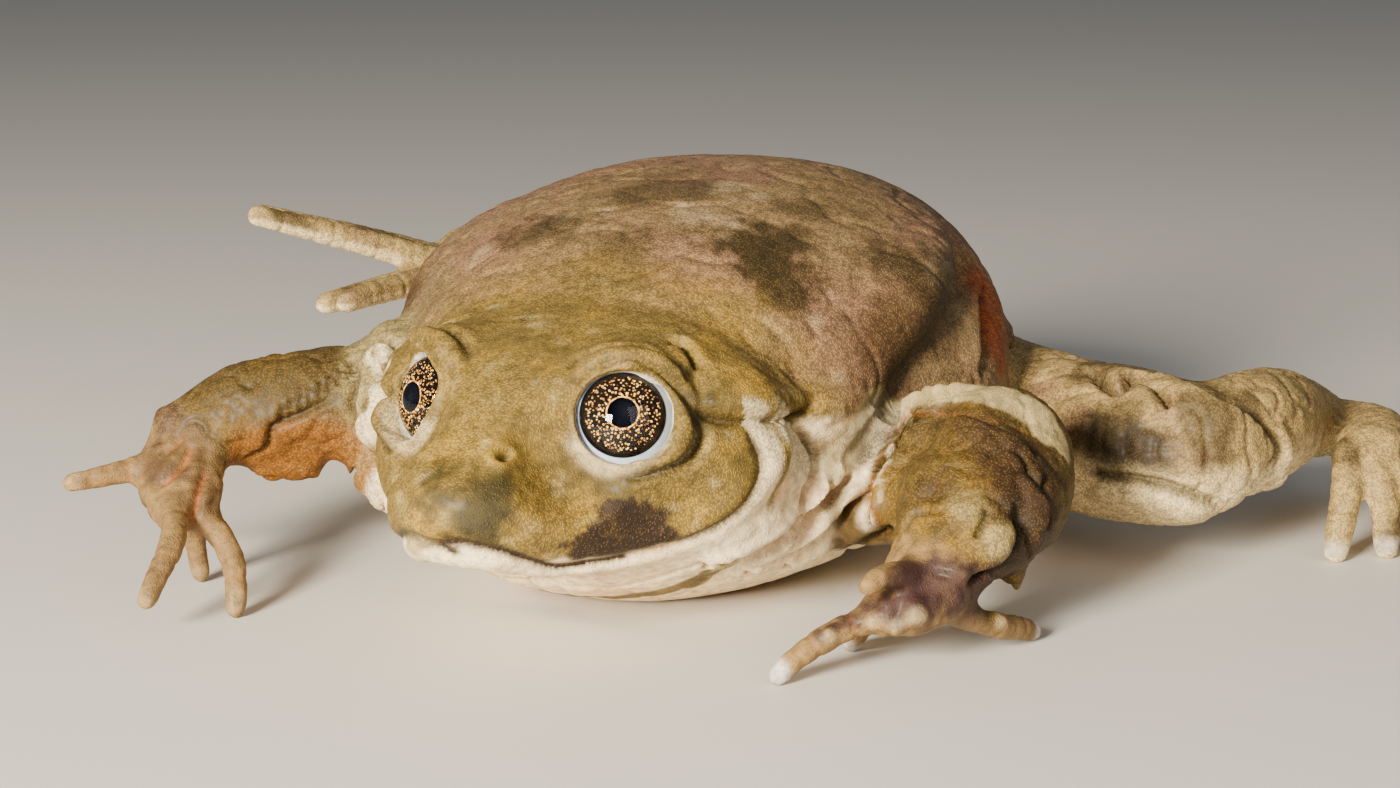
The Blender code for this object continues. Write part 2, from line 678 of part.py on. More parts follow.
def web(first, second, reach):
    """A soft sheet of skin between two toes, as far along them as the reach, with a hollowed edge."""
    a, b = interpolate(first, 4), interpolate(second, 4)
    steps, across = WEB_STEPS, WEB_COLUMNS
    grid = []
    for i in range(steps + 1):
        row = []
        for j in range(across + 1):
            share = j / across
            slack = 1.0 - WEB_HOLLOW * 4 * share * (1 - share)
            t = reach * slack * i / steps
            p, q = point_on(a, t), point_on(b, t)
            row.append(p.lerp(q, share))
        grid.append(row)
    bm = bmesh.new()
    faces_up, faces_down = [], []
    for lift, store in ((WEB_THICKNESS / 2, faces_up), (-WEB_THICKNESS / 2, faces_down)):
        for i, row in enumerate(grid):
            made = []
            for j, p in enumerate(row):
                ahead = grid[min(i + 1, steps)][j] - grid[max(i - 1, 0)][j]
                aside = row[min(j + 1, across)] - row[max(j - 1, 0)]
                normal = aside.cross(ahead).normalized()
                made.append(bm.verts.new((p + normal * lift) * MM))
            store.append(made)
    for sheet in (faces_up, faces_down):
        for i in range(steps):
            for j in range(across):
                bm.faces.new((sheet[i][j], sheet[i][j + 1], sheet[i + 1][j + 1], sheet[i + 1][j]))
    rim = [(0, j) for j in range(across)] + [(i, across) for i in range(steps)]
    rim += [(steps, j) for j in range(across, 0, -1)] + [(i, 0) for i in range(steps, 0, -1)]
    for k, (i, j) in enumerate(rim):
        m, n = rim[(k + 1) % len(rim)]
        bm.faces.new((faces_up[i][j], faces_up[m][n], faces_down[m][n], faces_down[i][j]))
    bmesh.ops.recalc_face_normals(bm, faces=bm.faces)
    mesh = bpy.data.meshes.new("form")
    bm.to_mesh(mesh)
    bm.free()
    return mesh


def point_on(route, share):
    """The point at this share of the way along a finely stepped route, in mm."""
    place = share * (len(route) - 1)
    low = min(int(place), len(route) - 2)
    return Vector(route[low]).lerp(Vector(route[low + 1]), place - low)


TOES_LEFT = [
    [(69.2, 28.0, 10.6), (69.6, 24.4, 7.4), (69.4, 21.8, 3.2), (69.2, 21.2, TOE_REST)],
    [(71.0, 28.4, 10.6), (73.2, 26.0, 7.0), (74.0, 25.2, 3.2), (74.2, 24.8, TOE_REST)],
    [(72.6, 29.6, 10.2), (76.6, 27.8, 6.6), (80.2, 26.6, 2.8), (82.2, 26.2, TOE_REST)],
    [(73.0, 31.4, 9.8), (79.2, 31.6, 6.2), (86.0, 32.0, 2.6), (91.0, 32.6, TOE_REST)],
    [(72.2, 33.6, 9.6), (77.0, 36.6, 6.2), (82.0, 39.8, 2.6), (85.2, 42.0, TOE_REST)],
]
TOES_RIGHT = [
    [(-46.2, 38.6, 22.4), (-48.4, 31.0, 22.6), (-50.2, 22.6, 22.4), (-51.4, 16.2, 22.0)],
    [(-47.2, 38.0, 22.6), (-51.0, 31.2, 22.2), (-54.2, 25.0, 21.4), (-56.6, 20.2, 20.8)],
    [(-48.4, 37.8, 23.6), (-54.8, 31.4, 26.6), (-60.8, 25.6, 29.2), (-66.2, 20.6, 31.4)],
    [(-49.8, 39.0, 23.8), (-57.4, 35.0, 26.4), (-65.0, 31.6, 28.6), (-71.0, 29.0, 30.2)],
    [(-50.0, 41.0, 23.4), (-57.0, 39.8, 25.2), (-63.6, 38.4, 26.8), (-68.6, 37.2, 27.8)],
]


def foot_forms(tarsus, toes, reaches):
    """A foot's forms: its long ankle, five toes and the webs between them, each as far out as its reach."""
    forms = [limb(tarsus)]
    forms += [digit(route, TOE_ROOT, TOE_TIP) for route in toes]
    forms += [web(a, b, reach) for a, b, reach in zip(toes, toes[1:], reaches)]
    return forms


def leg(word, thigh, shank, foot, near):
    """One leg's thigh, shank and foot, each trimmed clear of the one before it, with a point near each."""
    thigh_lump = fuse(thigh, THIGH_VOXEL, THIGH_SOFTENING, THIGH_TRIANGLES)
    cut(thigh_lump, [FLOOR.copy(), body_clearance.copy()])
    shank_lump = fuse(shank, SHANK_VOXEL, SHANK_SOFTENING, SHANK_TRIANGLES)
    cut(shank_lump, [swollen(thigh_lump, CLEARANCE), FLOOR.copy(), body_clearance.copy()])
    foot_lump = fuse(foot, FOOT_VOXEL, FOOT_SOFTENING, FOOT_TRIANGLES)
    cut(foot_lump, [swollen(shank_lump, CLEARANCE), FLOOR.copy()])
    lumps = {"thigh": thigh_lump, "shank": shank_lump, "foot": foot_lump}
    for (name, lump), point in zip(lumps.items(), near):
        part_into(lump, {f"{name}_{word}": (point, LIMB_SKIN)})


THIGH_LEFT = [
    limb(
        [
            (12, 40, 15, 10, 10),
            (24, 31, 12.6, 9.6, 9.2),
            (37, 21.5, 12.2, 9.6, 8.6),
            (47, 14.6, 12.8, 8.8, 8.6),
            (53.4, 12, 12.8, 7.8, 8.0),
        ]
    ),
]
SHANK_LEFT = [
    limb(
        [
            (55.4, 14.4, 13.2, 6.2, 7.2),
            (58.6, 22, 13.6, 6.2, 6.8),
            (60.2, 31, 13.0, 5.6, 6.2),
            (61.0, 41, 11.4, 4.8, 5.0),
            (62.2, 48, 9.6, 4.2, 4.4),
        ]
    ),
]
TARSUS_LEFT = [
    (64.6, 49.6, 8.8, 3.6, 3.6),
    (68.6, 44.6, 9.6, 3.5, 3.4),
    (71.0, 37.6, 10.8, 3.6, 3.2),
    (71.2, 31.2, 10.8, 4.2, 2.8),
]
THIGH_RIGHT = [
    limb(
        [
            (-12, 40, 17, 11, 11),
            (-22, 36, 16.5, 10.6, 10.6),
            (-32, 32.6, 16, 9.4, 9.0),
            (-40, 30, 15.6, 7.8, 7.6),
        ]
    ),
]
SHANK_RIGHT = [
    limb(
        [
            (-42.4, 33.0, 16.6, 6.0, 6.4),
            (-43.4, 40.4, 18.2, 6.0, 6.2),
            (-42.6, 49, 19.8, 5.2, 5.4),
            (-41.0, 57, 21, 4.2, 4.4),
        ]
    ),
]
TARSUS_RIGHT = [
    (-43.0, 60.0, 21.8, 3.6, 3.6),
    (-47.6, 56.0, 23.4, 3.5, 3.4),
    (-50.0, 49.0, 24.2, 3.5, 3.2),
    (-48.6, 41.4, 23.6, 4.2, 2.8),
]
leg(
    "left",
    THIGH_LEFT,
    SHANK_LEFT,
    foot_forms(TARSUS_LEFT, TOES_LEFT, reaches=(0.55, 0.75, 0.85, 0.85)),
    near=((45, 14, 24), (60, 30, 22), (72, 32, 18)),
)
leg(
    "right",
    THIGH_RIGHT,
    SHANK_RIGHT,
    foot_forms(TARSUS_RIGHT, TOES_RIGHT, reaches=(0.8, 0.5, 0.8, 0.85)),
    near=((-36, 32, 28), (-43, 45, 28), (-50, 45, 30)),
)
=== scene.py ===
"""A titicaca water frog, dressed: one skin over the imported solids, wet speckled eyes, a pale studio floor."""
import itertools
import math
from functools import partial

import bmesh
import bpy
import numpy as np
from mathutils import Matrix, Vector
from mathutils.kdtree import KDTree


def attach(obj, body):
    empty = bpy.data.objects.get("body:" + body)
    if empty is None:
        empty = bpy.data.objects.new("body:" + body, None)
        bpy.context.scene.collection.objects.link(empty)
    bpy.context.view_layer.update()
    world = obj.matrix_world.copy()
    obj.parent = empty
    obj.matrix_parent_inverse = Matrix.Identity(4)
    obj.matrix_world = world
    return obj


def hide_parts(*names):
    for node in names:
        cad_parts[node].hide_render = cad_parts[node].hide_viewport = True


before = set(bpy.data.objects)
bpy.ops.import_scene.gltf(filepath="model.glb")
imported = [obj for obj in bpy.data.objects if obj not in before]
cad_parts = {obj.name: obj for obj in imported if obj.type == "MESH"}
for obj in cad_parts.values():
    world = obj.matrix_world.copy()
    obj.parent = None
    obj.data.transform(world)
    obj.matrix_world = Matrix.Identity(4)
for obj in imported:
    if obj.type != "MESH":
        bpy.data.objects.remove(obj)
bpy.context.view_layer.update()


# The camera
# It looks down a little on the frog's left front, from about a quarter of a metre, as the photograph does.
# Its place was fitted to the eyes, the nostrils, the outline and where the fingers and toes meet the floor.

MM = 0.001
PHOTO_WIDTH, PHOTO_HEIGHT = 1400, 788
FOCAL_PIXELS = 2612.0
SENSOR = 36.0
CAMERA_AT = Vector((0.1069, -0.2632, 0.0780))
CAMERA_AZIMUTH = math.radians(21.7)
CAMERA_PITCH = math.radians(12.0)

right_of_view = Vector((math.cos(CAMERA_AZIMUTH), math.sin(CAMERA_AZIMUTH), 0))
into_view = Vector((
    -math.sin(CAMERA_AZIMUTH) * math.cos(CAMERA_PITCH),
    math.cos(CAMERA_AZIMUTH) * math.cos(CAMERA_PITCH),
    -math.sin(CAMERA_PITCH),
))
up_of_view = right_of_view.cross(into_view)


def added(name, data):
    """A new object, put into the scene."""
    made = bpy.data.objects.new(name, data)
    bpy.context.collection.objects.link(made)
    return made


camera = added("camera", bpy.data.cameras.new("camera"))
camera.matrix_world = Matrix.Translation(CAMERA_AT) @ Matrix(
    (right_of_view, up_of_view, -into_view)
).transposed().to_4x4()
camera.data.sensor_width = SENSOR
camera.data.lens = SENSOR * FOCAL_PIXELS / PHOTO_WIDTH
camera.data.clip_start = 0.01
bpy.context.scene.camera = camera


# The skin's sheet
# A titicaca water frog breathes through its skin, so it wears far more of it than it fills: one moist, soft,
# finely grained sheet over the whole body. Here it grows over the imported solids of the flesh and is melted
# into one surface without seams. All shaping below is in millimetres on this sheet.

FLESH = [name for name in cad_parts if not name.startswith("eye")]
VOXEL = 0.30
SWELL, SETTLE = 0.45, 0.25  # closes the small gaps between the solids, and draws the sheet back afterwards
FORM_BLUR = 1.7  # how far the joints between the solids are smoothed out
DIGIT_BLUR = 0.55


def melted_flesh():
    """One mesh of all the solids of flesh, swollen a little so that they run into each other."""
    lump = bmesh.new()
    for name in FLESH:
        lump.from_mesh(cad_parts[name].data)
    bmesh.ops.remove_doubles(lump, verts=lump.verts, dist=0.0001 * MM)
    lump.normal_update()
    places = [v.co + v.normal * SWELL * MM for v in lump.verts]
    for vert, place in zip(lump.verts, places):
        vert.co = place
    mesh = bpy.data.meshes.new("skin")
    lump.to_mesh(mesh)
    lump.free()
    made = added("skin", mesh)
    melt = made.modifiers.new("melt", "REMESH")
    melt.mode = "VOXEL"
    melt.voxel_size = VOXEL * MM
    graph = bpy.context.evaluated_depsgraph_get()
    melted = bpy.data.meshes.new_from_object(made.evaluated_get(graph))
    made.modifiers.clear()
    made.data = melted
    return made


def edges_of(mesh):
    ends = np.empty(len(mesh.edges) * 2, dtype=np.int64)
    mesh.edges.foreach_get("vertices", ends)
    return ends.reshape(-1, 2)


def outer_surface_only(mesh):
    """Drops the small sealed pockets that melting leaves inside."""
    ends = edges_of(mesh)
    label = np.arange(len(mesh.vertices))
    while True:
        low = np.minimum(label[ends[:, 0]], label[ends[:, 1]])
        new = label.copy()
        np.minimum.at(new, ends[:, 0], low)
        np.minimum.at(new, ends[:, 1], low)
        new = new[new]
        if np.array_equal(new, label):
            break
        label = new
    names, sizes = np.unique(label, return_counts=True)
    inner = np.nonzero(label != names[np.argmax(sizes)])[0]
    surface = bmesh.new()
    surface.from_mesh(mesh)
    surface.verts.ensure_lookup_table()
    bmesh.ops.delete(surface, geom=[surface.verts[i] for i in inner], context="VERTS")
    surface.to_mesh(mesh)
    surface.free()


skin = melted_flesh()
outer_surface_only(skin.data)
point_count = len(skin.data.vertices)
edge_ends = edges_of(skin.data)
neighbour_counts = np.bincount(edge_ends.ravel(), minlength=point_count).astype(float)


def three_columns(kind):
    values = np.empty(point_count * 3)
    skin.data.vertices.foreach_get(kind, values)
    return values.reshape(-1, 3)


def shape_skin(places):
    """Moves the sheet to new places in mm and gives back its new facings."""
    skin.data.vertices.foreach_set("co", (places * MM).ravel())
    skin.data.update()
    return three_columns("normal")


def neighbour_mean(values):
    a, b = edge_ends.T
    columns = values.reshape(point_count, -1)
    means = np.empty_like(columns)
    for k, column in enumerate(columns.T):
        means[:, k] = np.bincount(a, column[b], point_count) + np.bincount(b, column[a], point_count)
    return (means / neighbour_counts[:, None]).reshape(values.shape)


def softened(values, blur, share=1.0):
    """Values spread over the sheet by about blur mm. The share says how far each point takes part."""
    for _ in range(max(1, round((blur / VOXEL) ** 2))):
        values = values + (neighbour_mean(values) - values) * share * 0.9
    return values


def ramp(values, low, high):
    """0 below low, 1 above high, and a soft rise between."""
    t = np.clip((values - low) / (high - low), 0.0, 1.0)
    return t * t * (3 - 2 * t)


places = three_columns("co") / MM
nearest = KDTree(sum(len(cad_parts[name].data.vertices) for name in FLESH))
owner = []
for number, name in enumerate(FLESH):
    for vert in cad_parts[name].data.vertices:
        nearest.insert(vert.co / MM, len(owner))
        owner.append(number)
nearest.balance()
owned = np.array([owner[nearest.find(p)[1]] for p in places])


def part(*beginnings):
    """1 on the parts of the body whose names begin so, and 0 elsewhere."""
    numbers = [k for k, name in enumerate(FLESH) if name.startswith(beginnings)]
    return np.isin(owned, numbers).astype(float)


digits = softened(part("finger", "foot", "hand"), 2.0)
places = softened(places, DIGIT_BLUR)
places = softened(places, FORM_BLUR, (1 - ramp(digits, 0.2, 0.8))[:, None])
places = softened(places - shape_skin(places) * SETTLE, 0.3)
facings = shape_skin(places)


# The head's folds
# The frog's blunt head: a wide mouth with a soft lower lip, heavy round lids that stand off the skull, bagged
# skin behind and below them, and two small raised nostrils. The skin is loose and creases where it moves.
# Each line is given by pixels of the photograph, from left to right, and found on the sheet from there.

HEAD_TURN = math.radians(6.0)
HEAD_PIVOT = np.array((-0.4, -40.8, 0.0))
EYE_CENTRE = (9.75, -37.7, 23.3)
EYE_TURN, EYE_RISE = math.radians(33.0), math.radians(22.0)

MOUTH = [
    (421, 548), (458, 543), (506, 553), (551, 567), (584, 564), (621, 558), (675, 545), (715, 529),
    (742, 511), (757, 489), (762, 466), (757, 445), (750, 428),
]
UNDER_LIP = [
    (440, 566), (506, 575), (551, 586), (600, 589), (648, 582), (701, 564), (755, 538), (785, 513),
    (803, 485), (812, 465), (808, 445), (795, 424),
]
LID_BAG = [
    (630, 361), (652, 368), (672, 380), (684, 396), (693, 414), (700, 434), (694, 453), (677, 467),
    (650, 476), (622, 477),
]
LID_FOLD = [(560, 372), (584, 356), (610, 346), (640, 346), (660, 354), (676, 366), (690, 384)]
BROW_FOLD = [(668, 342), (681, 346), (690, 355), (698, 370)]
UPPER_LID_FOLD = [(578, 382), (594, 366), (616, 357), (640, 358), (657, 367), (668, 380)]
NOSTRIL = (504, 456)
NOSTRIL_WIDE, NOSTRIL_DEEP = 0.62, 1.1
NOSTRIL_RING, NOSTRIL_RING_RADIUS = 0.42, 1.1

# The lids, by side: 1 is the left eye and -1 the right. Radii are measured from the line an eye looks along.
UPPER_LID_DROOP, LOWER_LID_DROOP = {1: 0.8, -1: 1.3}, {1: 0.0, -1: 0.5}
DROOP_REACH = (5.4, 8.6)
LID_ROLL, LID_ROLL_RADIUS = 0.4, 5.7
LID_CREASE, LID_CREASE_RADIUS = 0.3, 7.7
CANTHUS_RIM, CANTHUS_RIM_RADIUS = {1: 0.0, -1: 0.8}, 5.2
CANTHUS_RISE, CANTHUS_SLOPE = 3.4, 0.2  # how far forward the skin beside the nose may stand, and its slope
CANTHUS_RADIUS, CANTHUS_REACH = 4.4, (9.0, 14.0)


def to_world(head_points):
    """Points in mm on a head that looks straight ahead, brought to where this head looks."""
    c, s = math.cos(HEAD_TURN), math.sin(HEAD_TURN)
    x, y, z = (np.atleast_2d(np.array(head_points, dtype=float)) - (0, HEAD_PIVOT[1], 0)).T
    return np.stack([c * x + s * y + HEAD_PIVOT[0], c * y - s * x + HEAD_PIVOT[1], z], 1)


def to_head(world_points):
    c, s = math.cos(HEAD_TURN), math.sin(HEAD_TURN)
    x, y, z = (np.atleast_2d(world_points) - (HEAD_PIVOT[0], HEAD_PIVOT[1], 0)).T
    return np.stack([c * x - s * y, s * x + c * y + HEAD_PIVOT[1], z], 1)


def eye_direction(side, turn=EYE_TURN, rise=EYE_RISE):
    """Where an eye of side 1, the left, or -1, the right, faces in the world."""
    x, y = side * math.sin(turn) * math.cos(rise), -math.cos(turn) * math.cos(rise)
    c, s = math.cos(HEAD_TURN), math.sin(HEAD_TURN)
    return np.array((c * x + s * y, c * y - s * x, math.sin(rise)))


def eye_place(side):
    return to_world((side * EYE_CENTRE[0], EYE_CENTRE[1], EYE_CENTRE[2]))[0]


def drawn_through(corners, step):
    """A smooth line through the corners, with a point about every step."""
    corners = np.array(corners, dtype=float)
    padded = np.vstack([2 * corners[0] - corners[1], corners, 2 * corners[-1] - corners[-2]])
    line = []
    for a, b, c, d in zip(padded, padded[1:], padded[2:], padded[3:]):
        square, cube = 2 * a - 5 * b + 4 * c - d, 3 * b - a - 3 * c + d
        for t in np.arange(0, 1, step / max(step, np.linalg.norm(c - b))):
            line.append(0.5 * (2 * b + (c - a) * t + square * t**2 + cube * t**3))
    return np.array(line + [corners[-1]])


def on_skin(world_points):
    """The nearest places on the sheet to some points in mm, and the facings there."""
    found = [skin.closest_point_on_mesh(Vector(p) * MM)[1:3] for p in world_points]
    return np.array([f[0] for f in found]) / MM, np.array([f[1] for f in found])


def seen_at(pixels):
    """Where the camera's sight lines through pixels of the photograph first meet the sheet."""
    found = []
    for u, v in pixels:
        across, down = (u - PHOTO_WIDTH / 2) / FOCAL_PIXELS, (v - PHOTO_HEIGHT / 2) / FOCAL_PIXELS
        sight = (into_view + right_of_view * across - up_of_view * down).normalized()
        met, place, facing, _ = skin.ray_cast(CAMERA_AT, sight)
        if met:
            found.append((place / MM, facing))
    return np.array([f[0] for f in found]), np.array([f[1] for f in found])


def line_at(pixels):
    """A line on the sheet where the photograph shows one."""
    path, facing = seen_at(drawn_through(pixels, 6.0))
    jumps = np.linalg.norm(np.diff(path, axis=0), axis=1)
    cut = [0, *(np.nonzero(jumps > 5.0)[0] + 1), len(path)]
    longest = max(zip(cut, cut[1:]), key=lambda span: span[1] - span[0])
    return path[slice(*longest)], facing[slice(*longest)]


def mirrored(line, head=False):
    """The same line on the body's other side, run the other way so that its roll keeps its side."""
    path = (to_head(line[0]) if head else line[0]) * (-1, 1, 1)
    return on_skin((to_world(path) if head else path)[::-1])


def beside(line, reach):
    """The points within reach of a line, how far each is to its right, and how far along it."""
    path, line_facings = line
    box = ((places > path.min(0) - reach) & (places < path.max(0) + reach)).all(1)
    near = np.nonzero(box)[0]
    if len(near) * len(path) < 4e6:
        spread = ((places[near, None, :] - path[None]) ** 2).sum(2)
    else:
        spread = (places[near] ** 2).sum(1)[:, None] + (path**2).sum(1) - 2 * places[near] @ path.T
    step = spread.argmin(1)
    away = np.sqrt(np.maximum(spread[np.arange(len(near)), step], 0))
    same_side = (facings[near] * line_facings[step]).sum(1)
    keep = (away < reach) & (same_side > 0)
    near, step, away, same_side = near[keep], step[keep], away[keep], same_side[keep]
    rightward = np.cross(np.gradient(path, axis=0)[step], facings[near])
    rightward /= np.linalg.norm(rightward, axis=1)[:, None] + 1e-9
    offset = np.sign(((places[near] - path[step]) * rightward).sum(1)) * away
    return near, offset, step / max(1, len(path) - 1), rightward, ramp(same_side, 0.0, 0.5)


def hump(x):
    """A roll of skin across its width: up steeply from 0, down gently to 1."""
    x = np.clip(x, 0.0, 1.0)
    return 1.93 * x**0.62 * (1 - x) ** 1.5


lift = np.zeros((point_count, 3))
depth = np.zeros(point_count)


def fold(line, width, roll, crease, groove=0.5, lean=0.0, hollow=0.0, left_width=None, fade=0.14):
    """A crease along a line, with a roll of skin to its right and, if asked, a hollow to its left."""
    left_width = left_width or width
    near, offset, along, rightward, strength = beside(line, max(width, left_width, 2.5 * groove))
    strength = strength * ramp(along, 0.0, fade) * ramp(1 - along, 0.0, fade)
    right_roll = hump(offset / width)
    sunk = np.exp(-((offset / groove) ** 2))
    height = (roll * right_roll - hollow * hump(-offset / left_width) - crease * sunk)[:, None]
    lift[near] += (facings[near] * height - rightward * (lean * right_roll)[:, None]) * strength[:, None]
    depth[near] = np.maximum(depth[near], sunk * strength * min(1.0, crease))


def lump(centre, wide, high):
    """A soft swelling, or a dimple, at a place and facing on the sheet."""
    place, facing = centre
    away = np.linalg.norm(places - place, axis=1)
    strength = np.exp(-((away / wide) ** 2)) * ramp(facings @ facing, -0.2, 0.4)
    lift[:] += facings * (strength * high)[:, None]


def lump_at(pixel, wide, high):
    found, facing = seen_at([pixel])
    if len(found):
        lump((found[0], facing[0]), wide, high)


def both(line, head=False):
    return line, mirrored(line, head)


jaw = softened(part("lower_jaw"), 0.8)
mouth_lines = both(line_at(MOUTH), head=True)
lips = np.zeros(point_count)
for line in mouth_lines:
    fold(line, 2.6, 0.25, 0.8, groove=0.55, hollow=-0.45, left_width=3.0, fade=0.03)
    near, offset, _, _, _ = beside(line, 5.0)
    lips[near] = np.maximum(lips[near], 1 - ramp(np.abs(offset), 2.0, 5.0))
for line in both(line_at(UNDER_LIP[:7]), head=True):
    fold(line, 3.0, 0.0, 0.7, groove=0.5, hollow=0.0)
collar_lines = both(line_at(UNDER_LIP[5:]), head=True)
for line in collar_lines:
    fold(line, 4.5, 0.9, 2.4, groove=0.7, lean=0.3, hollow=-2.4, left_width=5.6)
for side in (1, -1):
    gaze = eye_direction(side)
    sideways = np.cross(gaze, (0, 0, 1.0))
    sideways /= np.linalg.norm(sideways)
    upward = np.cross(sideways, gaze)
    out = places - eye_place(side)
    ahead = out @ gaze
    across_eye = out - ahead[:, None] * gaze
    round_axis = np.linalg.norm(across_eye, axis=1)
    high = ramp(across_eye @ upward / (round_axis + 0.01), 0.1, 0.9)
    low = ramp(-across_eye @ upward / (round_axis + 0.01), 0.1, 0.9)
    droop = UPPER_LID_DROOP[side] * high + LOWER_LID_DROOP[side] * low
    droop *= (1 - ramp(round_axis, *DROOP_REACH)) * ramp(ahead, 0, 2)
    swing = np.cross(np.cross(out, upward), out)
    swing /= np.linalg.norm(swing, axis=1)[:, None] + 0.01
    lift -= swing * droop[:, None]
    outer = ramp(across_eye @ sideways * -side / (round_axis + 0.01), -0.7, 0.3)
    lid = LID_ROLL * np.exp(-(((round_axis - LID_ROLL_RADIUS) / 0.9) ** 2))
    lid -= LID_CREASE * np.exp(-(((round_axis - LID_CREASE_RADIUS) / 0.5) ** 2))
    lift += facings * (lid * outer * ramp(ahead, -1, 2))[:, None]
    inner_side = ramp(across_eye @ sideways * side / (round_axis + 0.01), -0.2, 0.4)
    inner = inner_side * ramp(round_axis, 4.6, 5.4)
    over = np.maximum(0, ahead - CANTHUS_RISE - CANTHUS_SLOPE * (round_axis - CANTHUS_RADIUS))
    over *= 1 - ramp(round_axis, *CANTHUS_REACH)
    rim_height = CANTHUS_RIM[side] * np.exp(-(((round_axis - CANTHUS_RIM_RADIUS) / 0.5) ** 2))
    rim_height *= inner_side * ramp(ahead, 1, 2)
    lift += gaze * (rim_height - over * inner)[:, None]
bag_lines = both(line_at(LID_BAG), head=True)
for line in bag_lines:
    fold(line, 4.2, 0.9, 1.5, groove=0.6, hollow=-0.4, left_width=2.5, fade=0.1)
for line in both(line_at(LID_FOLD), head=True):
    fold(line, 2.2, 0.7, 1.0, groove=0.42, lean=0.2, hollow=-0.5)
for line in both(line_at(UPPER_LID_FOLD), head=True):
    fold(line, 1.6, 0.35, 0.6, groove=0.35, hollow=-0.25)
for line in both(line_at(BROW_FOLD), head=True):
    fold(line, 3.0, 0.9, 1.3, groove=0.5, hollow=-0.9)
nostril = seen_at([NOSTRIL])
nostril_places = []
for side in (1, -1):
    place, facing = nostril if side == 1 else on_skin(to_world(to_head(nostril[0]) * (-1, 1, 1)))
    nostril_places.append((place[0], facing[0]))
    away = np.linalg.norm(places - place[0], axis=1)
    hole = np.exp(-((away / NOSTRIL_WIDE) ** 4))
    swelling = NOSTRIL_RING * np.exp(-(((away - NOSTRIL_RING_RADIUS) / 0.6) ** 2))
    lift += facings * (swelling - NOSTRIL_DEEP * hole)[:, None]
    depth = np.maximum(depth, hole)


# The trunk's folds
# The back is a firm flat shield; the spare skin hangs from its rim as a hollow flank with upright folds, and
# from jaw to arm as a fan of soft rolls on the neck and throat.

SHIELD_FRONT = [(818, 396), (800, 410), (768, 417), (736, 418), (712, 413), (694, 403)]
SHIELD_RIM = [
    (945, 225), (960, 258), (957, 283), (944, 313), (920, 344), (898, 370), (884, 396), (862, 430),
    (834, 462),
]
FLANK_FOLDS = [[(985, 262), (992, 300), (990, 340), (984, 392)], [(1003, 280), (1010, 320), (1010, 352)]]
NECK_FOLDS = [
    [(828, 476), (812, 498), (788, 520), (750, 546), (705, 566)],
    [(853, 470), (836, 486), (800, 522), (772, 545), (735, 563)],
    [(870, 488), (846, 508), (810, 532), (780, 550), (745, 572)],
    [(893, 524), (860, 538), (820, 549), (786, 566)],
]

for line in both(line_at(SHIELD_FRONT)):
    fold(line, 7.0, 1.7, 1.6, groove=0.6, lean=0.9, hollow=0.4, left_width=3.0)
for line in both(line_at(SHIELD_RIM)):
    fold(line, 10.0, 1.6, 0.9, groove=2.4, lean=0.8, hollow=3.6, left_width=11.0)
for pixels in FLANK_FOLDS:
    for line in both(line_at(pixels)):
        fold(line, 4.0, 1.6, 1.4, groove=0.8, lean=0.4)
neck_lines = [line for pixels in NECK_FOLDS for line in both(line_at(pixels))]
for line in neck_lines:
    fold(line, 3.6, 2.3, 2.8, groove=0.65, lean=0.7, hollow=-0.8, fade=0.08)


# The arms' folds
# The skin of the arm is a sleeve too long for it: it gathers in a pale ring over the elbow, laps over the
# forearm like a cuff, and falls in upright pleats on the outer side.

# Lines with the width and height of the roll beside each and the depth of its crease, in mm.
LEFT_SLEEVE = [
    ([(890, 446), (897, 424), (918, 414), (956, 413), (992, 421), (1026, 434), (1044, 452)], 4.4, 1.0, 1.3),
    ([(897, 540), (880, 525), (871, 503), (872, 478), (882, 452), (897, 430)], 4.4, 1.1, 1.4),
    ([(897, 540), (908, 520), (914, 513), (928, 509)], 2.0, 0.4, 0.7),
    ([(966, 586), (992, 576), (1010, 560), (1020, 540), (1019, 522), (1011, 506)], 3.2, -0.6, 1.5),
    ([(1014, 500), (1026, 518), (1032, 538), (1030, 560)], 1.8, 0.5, 0.9),
    ([(988, 506), (982, 524), (974, 540)], 1.8, 0.3, 0.6),
    ([(1012, 446), (1026, 462), (1038, 486), (1050, 502)], 2.4, 0.45, 0.5),
    ([(1050, 466), (1046, 486), (1052, 508), (1048, 530)], 2.2, 0.5, 0.7),
]
ARM_RING = [
    (845, 478), (858, 446), (880, 420), (905, 403), (935, 396), (966, 397), (999, 404), (1027, 420),
    (1046, 440),
]
RING_FOOT = [(893, 410), (876, 428), (862, 450), (852, 474)]
RIGHT_SLEEVE = [
    ([(389, 388), (399, 368), (394, 347), (376, 333), (352, 336), (334, 351)], 3.0, 0.5, 0.5),
    ([(368, 462), (362, 436), (352, 405), (357, 378), (350, 352)], 3.0, 0.5, 1.0),
    ([(336, 394), (310, 409), (290, 419), (271, 428), (267, 446), (246, 459), (238, 476)], 2.6, 0.4, 0.7),
    ([(364, 466), (335, 472), (296, 480), (270, 493)], 2.0, 0.4, 0.4),
]
ARM_LUMPS = [
    (1046, 424, 5.0, -1.8), (1014, 403, 3.4, -0.7), (932, 492, 1.6, -0.5), (967, 506, 1.7, 0.5),
    (1000, 540, 2.2, 0.9), (962, 574, 1.0, 0.6), (880, 480, 3.0, 0.6), (905, 560, 1.3, 0.4),
    (160, 415, 1.5, 0.5), (222, 440, 1.8, 0.35),
]
TUBERCLES = [
    (873, 622), (895, 628), (910, 619), (921, 616), (830, 634), (1003, 622), (888, 606), (901, 600),
    (915, 604),
]
TUBERCLE_WIDE, TUBERCLE_HIGH = 0.75, 0.6
RIGHT_PLEATS = 8
